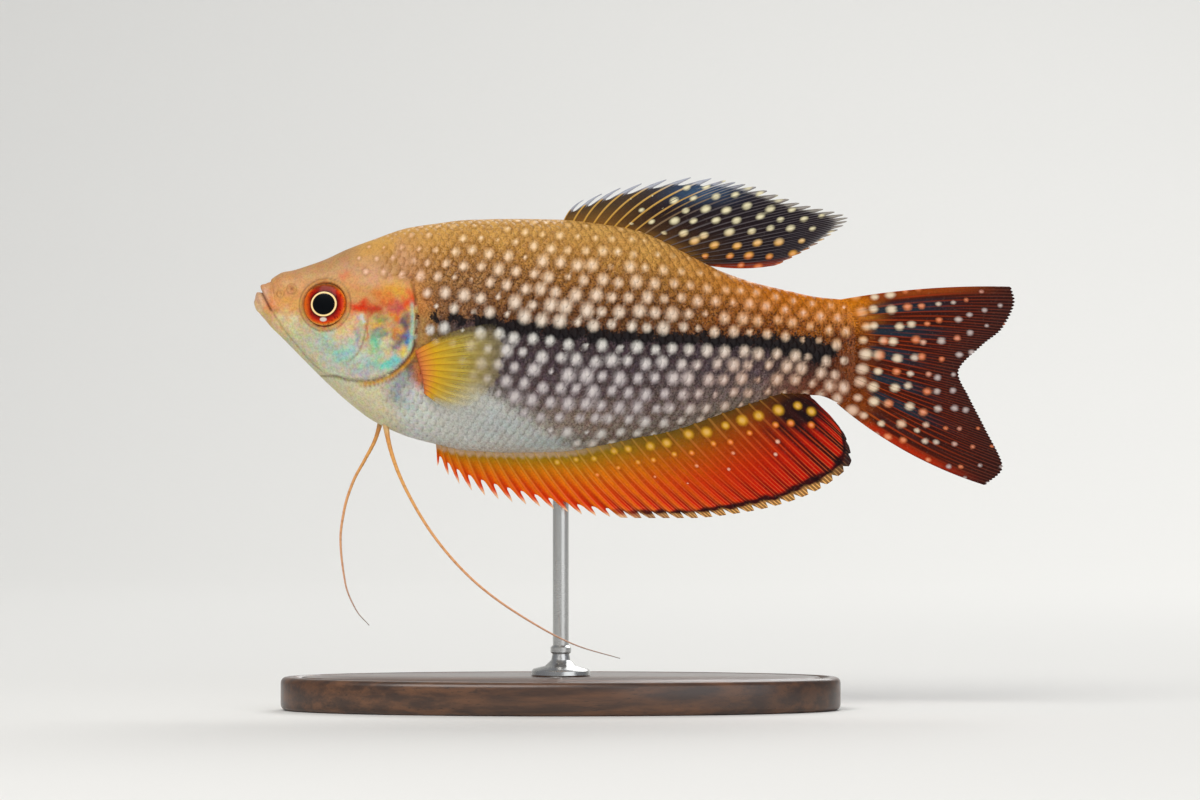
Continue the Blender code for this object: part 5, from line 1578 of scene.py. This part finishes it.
class GOURAMI_OT_stage(bpy.types.Operator):
    """Adds the pale floor with its backdrop, the studio lights and the camera"""

    bl_idname = "gourami.stage"
    bl_label = "Stage"

    def execute(self, context):
        settings = context.scene.gourami_stage
        self.floor(settings)
        self.lights()
        self.camera(settings)
        return {"FINISHED"}

    def floor(self, settings):
        """A sheet of paper that lies on the table and curves up behind the model."""
        deselect()
        bpy.ops.mesh.primitive_grid_add(x_subdivisions=2, y_subdivisions=60, size=2.0)
        floor = made("paper_floor")
        flat = corners(floor)
        front, straight, bend, length, half_width = -1.1, 1.75, 0.45, 3.4, 2.6
        run = (flat[:, 1] + 1) / 2 * length
        turn = np.clip((run - straight) / bend, 0, math.pi / 2)
        past = np.maximum(run - straight - bend * math.pi / 2, 0)
        y = front + np.minimum(run, straight) + bend * np.sin(turn)
        set_corners(floor, np.stack([flat[:, 0] * half_width, y, bend * (1 - np.cos(turn)) + past], axis=1))
        floor.data.materials.append(paper_material((*settings.floor_colour, 1.0)))
        floor.data.shade_smooth()

    def lights(self):
        """A large soft key from above and in front, a weak fill, and a low light behind."""
        # Name, place, size, power and colour
        plans = (
            ("key", (-0.35, -0.75, 0.85), 0.7, 8.8, (1.0, 0.98, 0.95)),
            ("fill", (0.6, -0.9, 0.25), 0.9, 3.6, (0.96, 0.98, 1.0)),
            ("back", (0.3, 0.7, 0.7), 0.6, 4.5, (1.0, 1.0, 1.0)),
        )
        aim = Vector(place((45.0, 0.0, -5.0)))
        for name, where, size, power, colour in plans:
            light = bpy.data.lights.new(name, "AREA")
            light.size = size
            light.energy = power
            light.color = colour
            lamp = added(name, light)
            lamp.location = where
            lamp.rotation_euler = (Vector(where) - aim).to_track_quat("Z", "Y").to_euler()
        world = bpy.data.worlds.new("studio")
        world.use_nodes = True
        background = world.node_tree.nodes["Background"]
        background.inputs["Color"].default_value = (0.9, 0.93, 1.0, 1.0)
        background.inputs["Strength"].default_value = 0.3
        bpy.context.scene.world = world
        bpy.context.scene.view_settings.view_transform = "Standard"

    def camera(self, settings):
        """Looks level at the fish's side, framed as the photograph is."""
        lens = bpy.data.cameras.new("camera")
        lens.sensor_width = 36.0
        lens.lens = lens.sensor_width * settings.camera_distance / settings.view_width
        lens.clip_start = 0.01
        camera = added("camera", lens)
        photo_middle = place((51.9, 0.0, -15.0))
        camera.location = (photo_middle[0], -settings.camera_distance, photo_middle[2])
        camera.rotation_euler = (math.pi / 2, 0.0, 0.0)
        bpy.context.scene.camera = camera


class GOURAMI_PT_panel(bpy.types.Panel):
    """Lists the model's pieces and their settings"""

    bl_label = "Pearl Gourami"
    bl_idname = "GOURAMI_PT_panel"
    bl_space_type = "VIEW_3D"
    bl_region_type = "UI"
    bl_category = "Gourami"

    def draw(self, context):
        for name, (title, group) in SETTINGS.items():
            box = self.layout.box()
            box.label(text=title)
            for key in group.__annotations__:
                box.prop(getattr(context.scene, name), key)
        for operator in OPERATORS:
            self.layout.operator(operator.bl_idname)


SETTINGS = {
    "gourami_skin": ("Skin and Scales", SkinSettings),
    "gourami_fins": ("Fins", FinSettings),
    "gourami_stand": ("Stand", StandSettings),
    "gourami_stage": ("Stage", StageSettings),
}
OPERATORS = (
    GOURAMI_OT_skin, GOURAMI_OT_scales, GOURAMI_OT_eyes, GOURAMI_OT_upright_fins, GOURAMI_OT_pectoral_fins,
    GOURAMI_OT_feelers, GOURAMI_OT_stand, GOURAMI_OT_stage,
)
CLASSES = tuple(group for _, group in SETTINGS.values()) + OPERATORS + (GOURAMI_PT_panel,)


def register():
    for cls in CLASSES:
        bpy.utils.register_class(cls)
    for name, (_, group) in SETTINGS.items():
        setattr(bpy.types.Scene, name, PointerProperty(type=group))


def unregister():
    for name in SETTINGS:
        delattr(bpy.types.Scene, name)
    for cls in reversed(CLASSES):
        bpy.utils.unregister_class(cls)


def main():
    register()
    for operator in OPERATORS:
        group, name = operator.bl_idname.split(".")
        getattr(getattr(bpy.ops, group), name)()


if __name__ == "__main__":
    main()
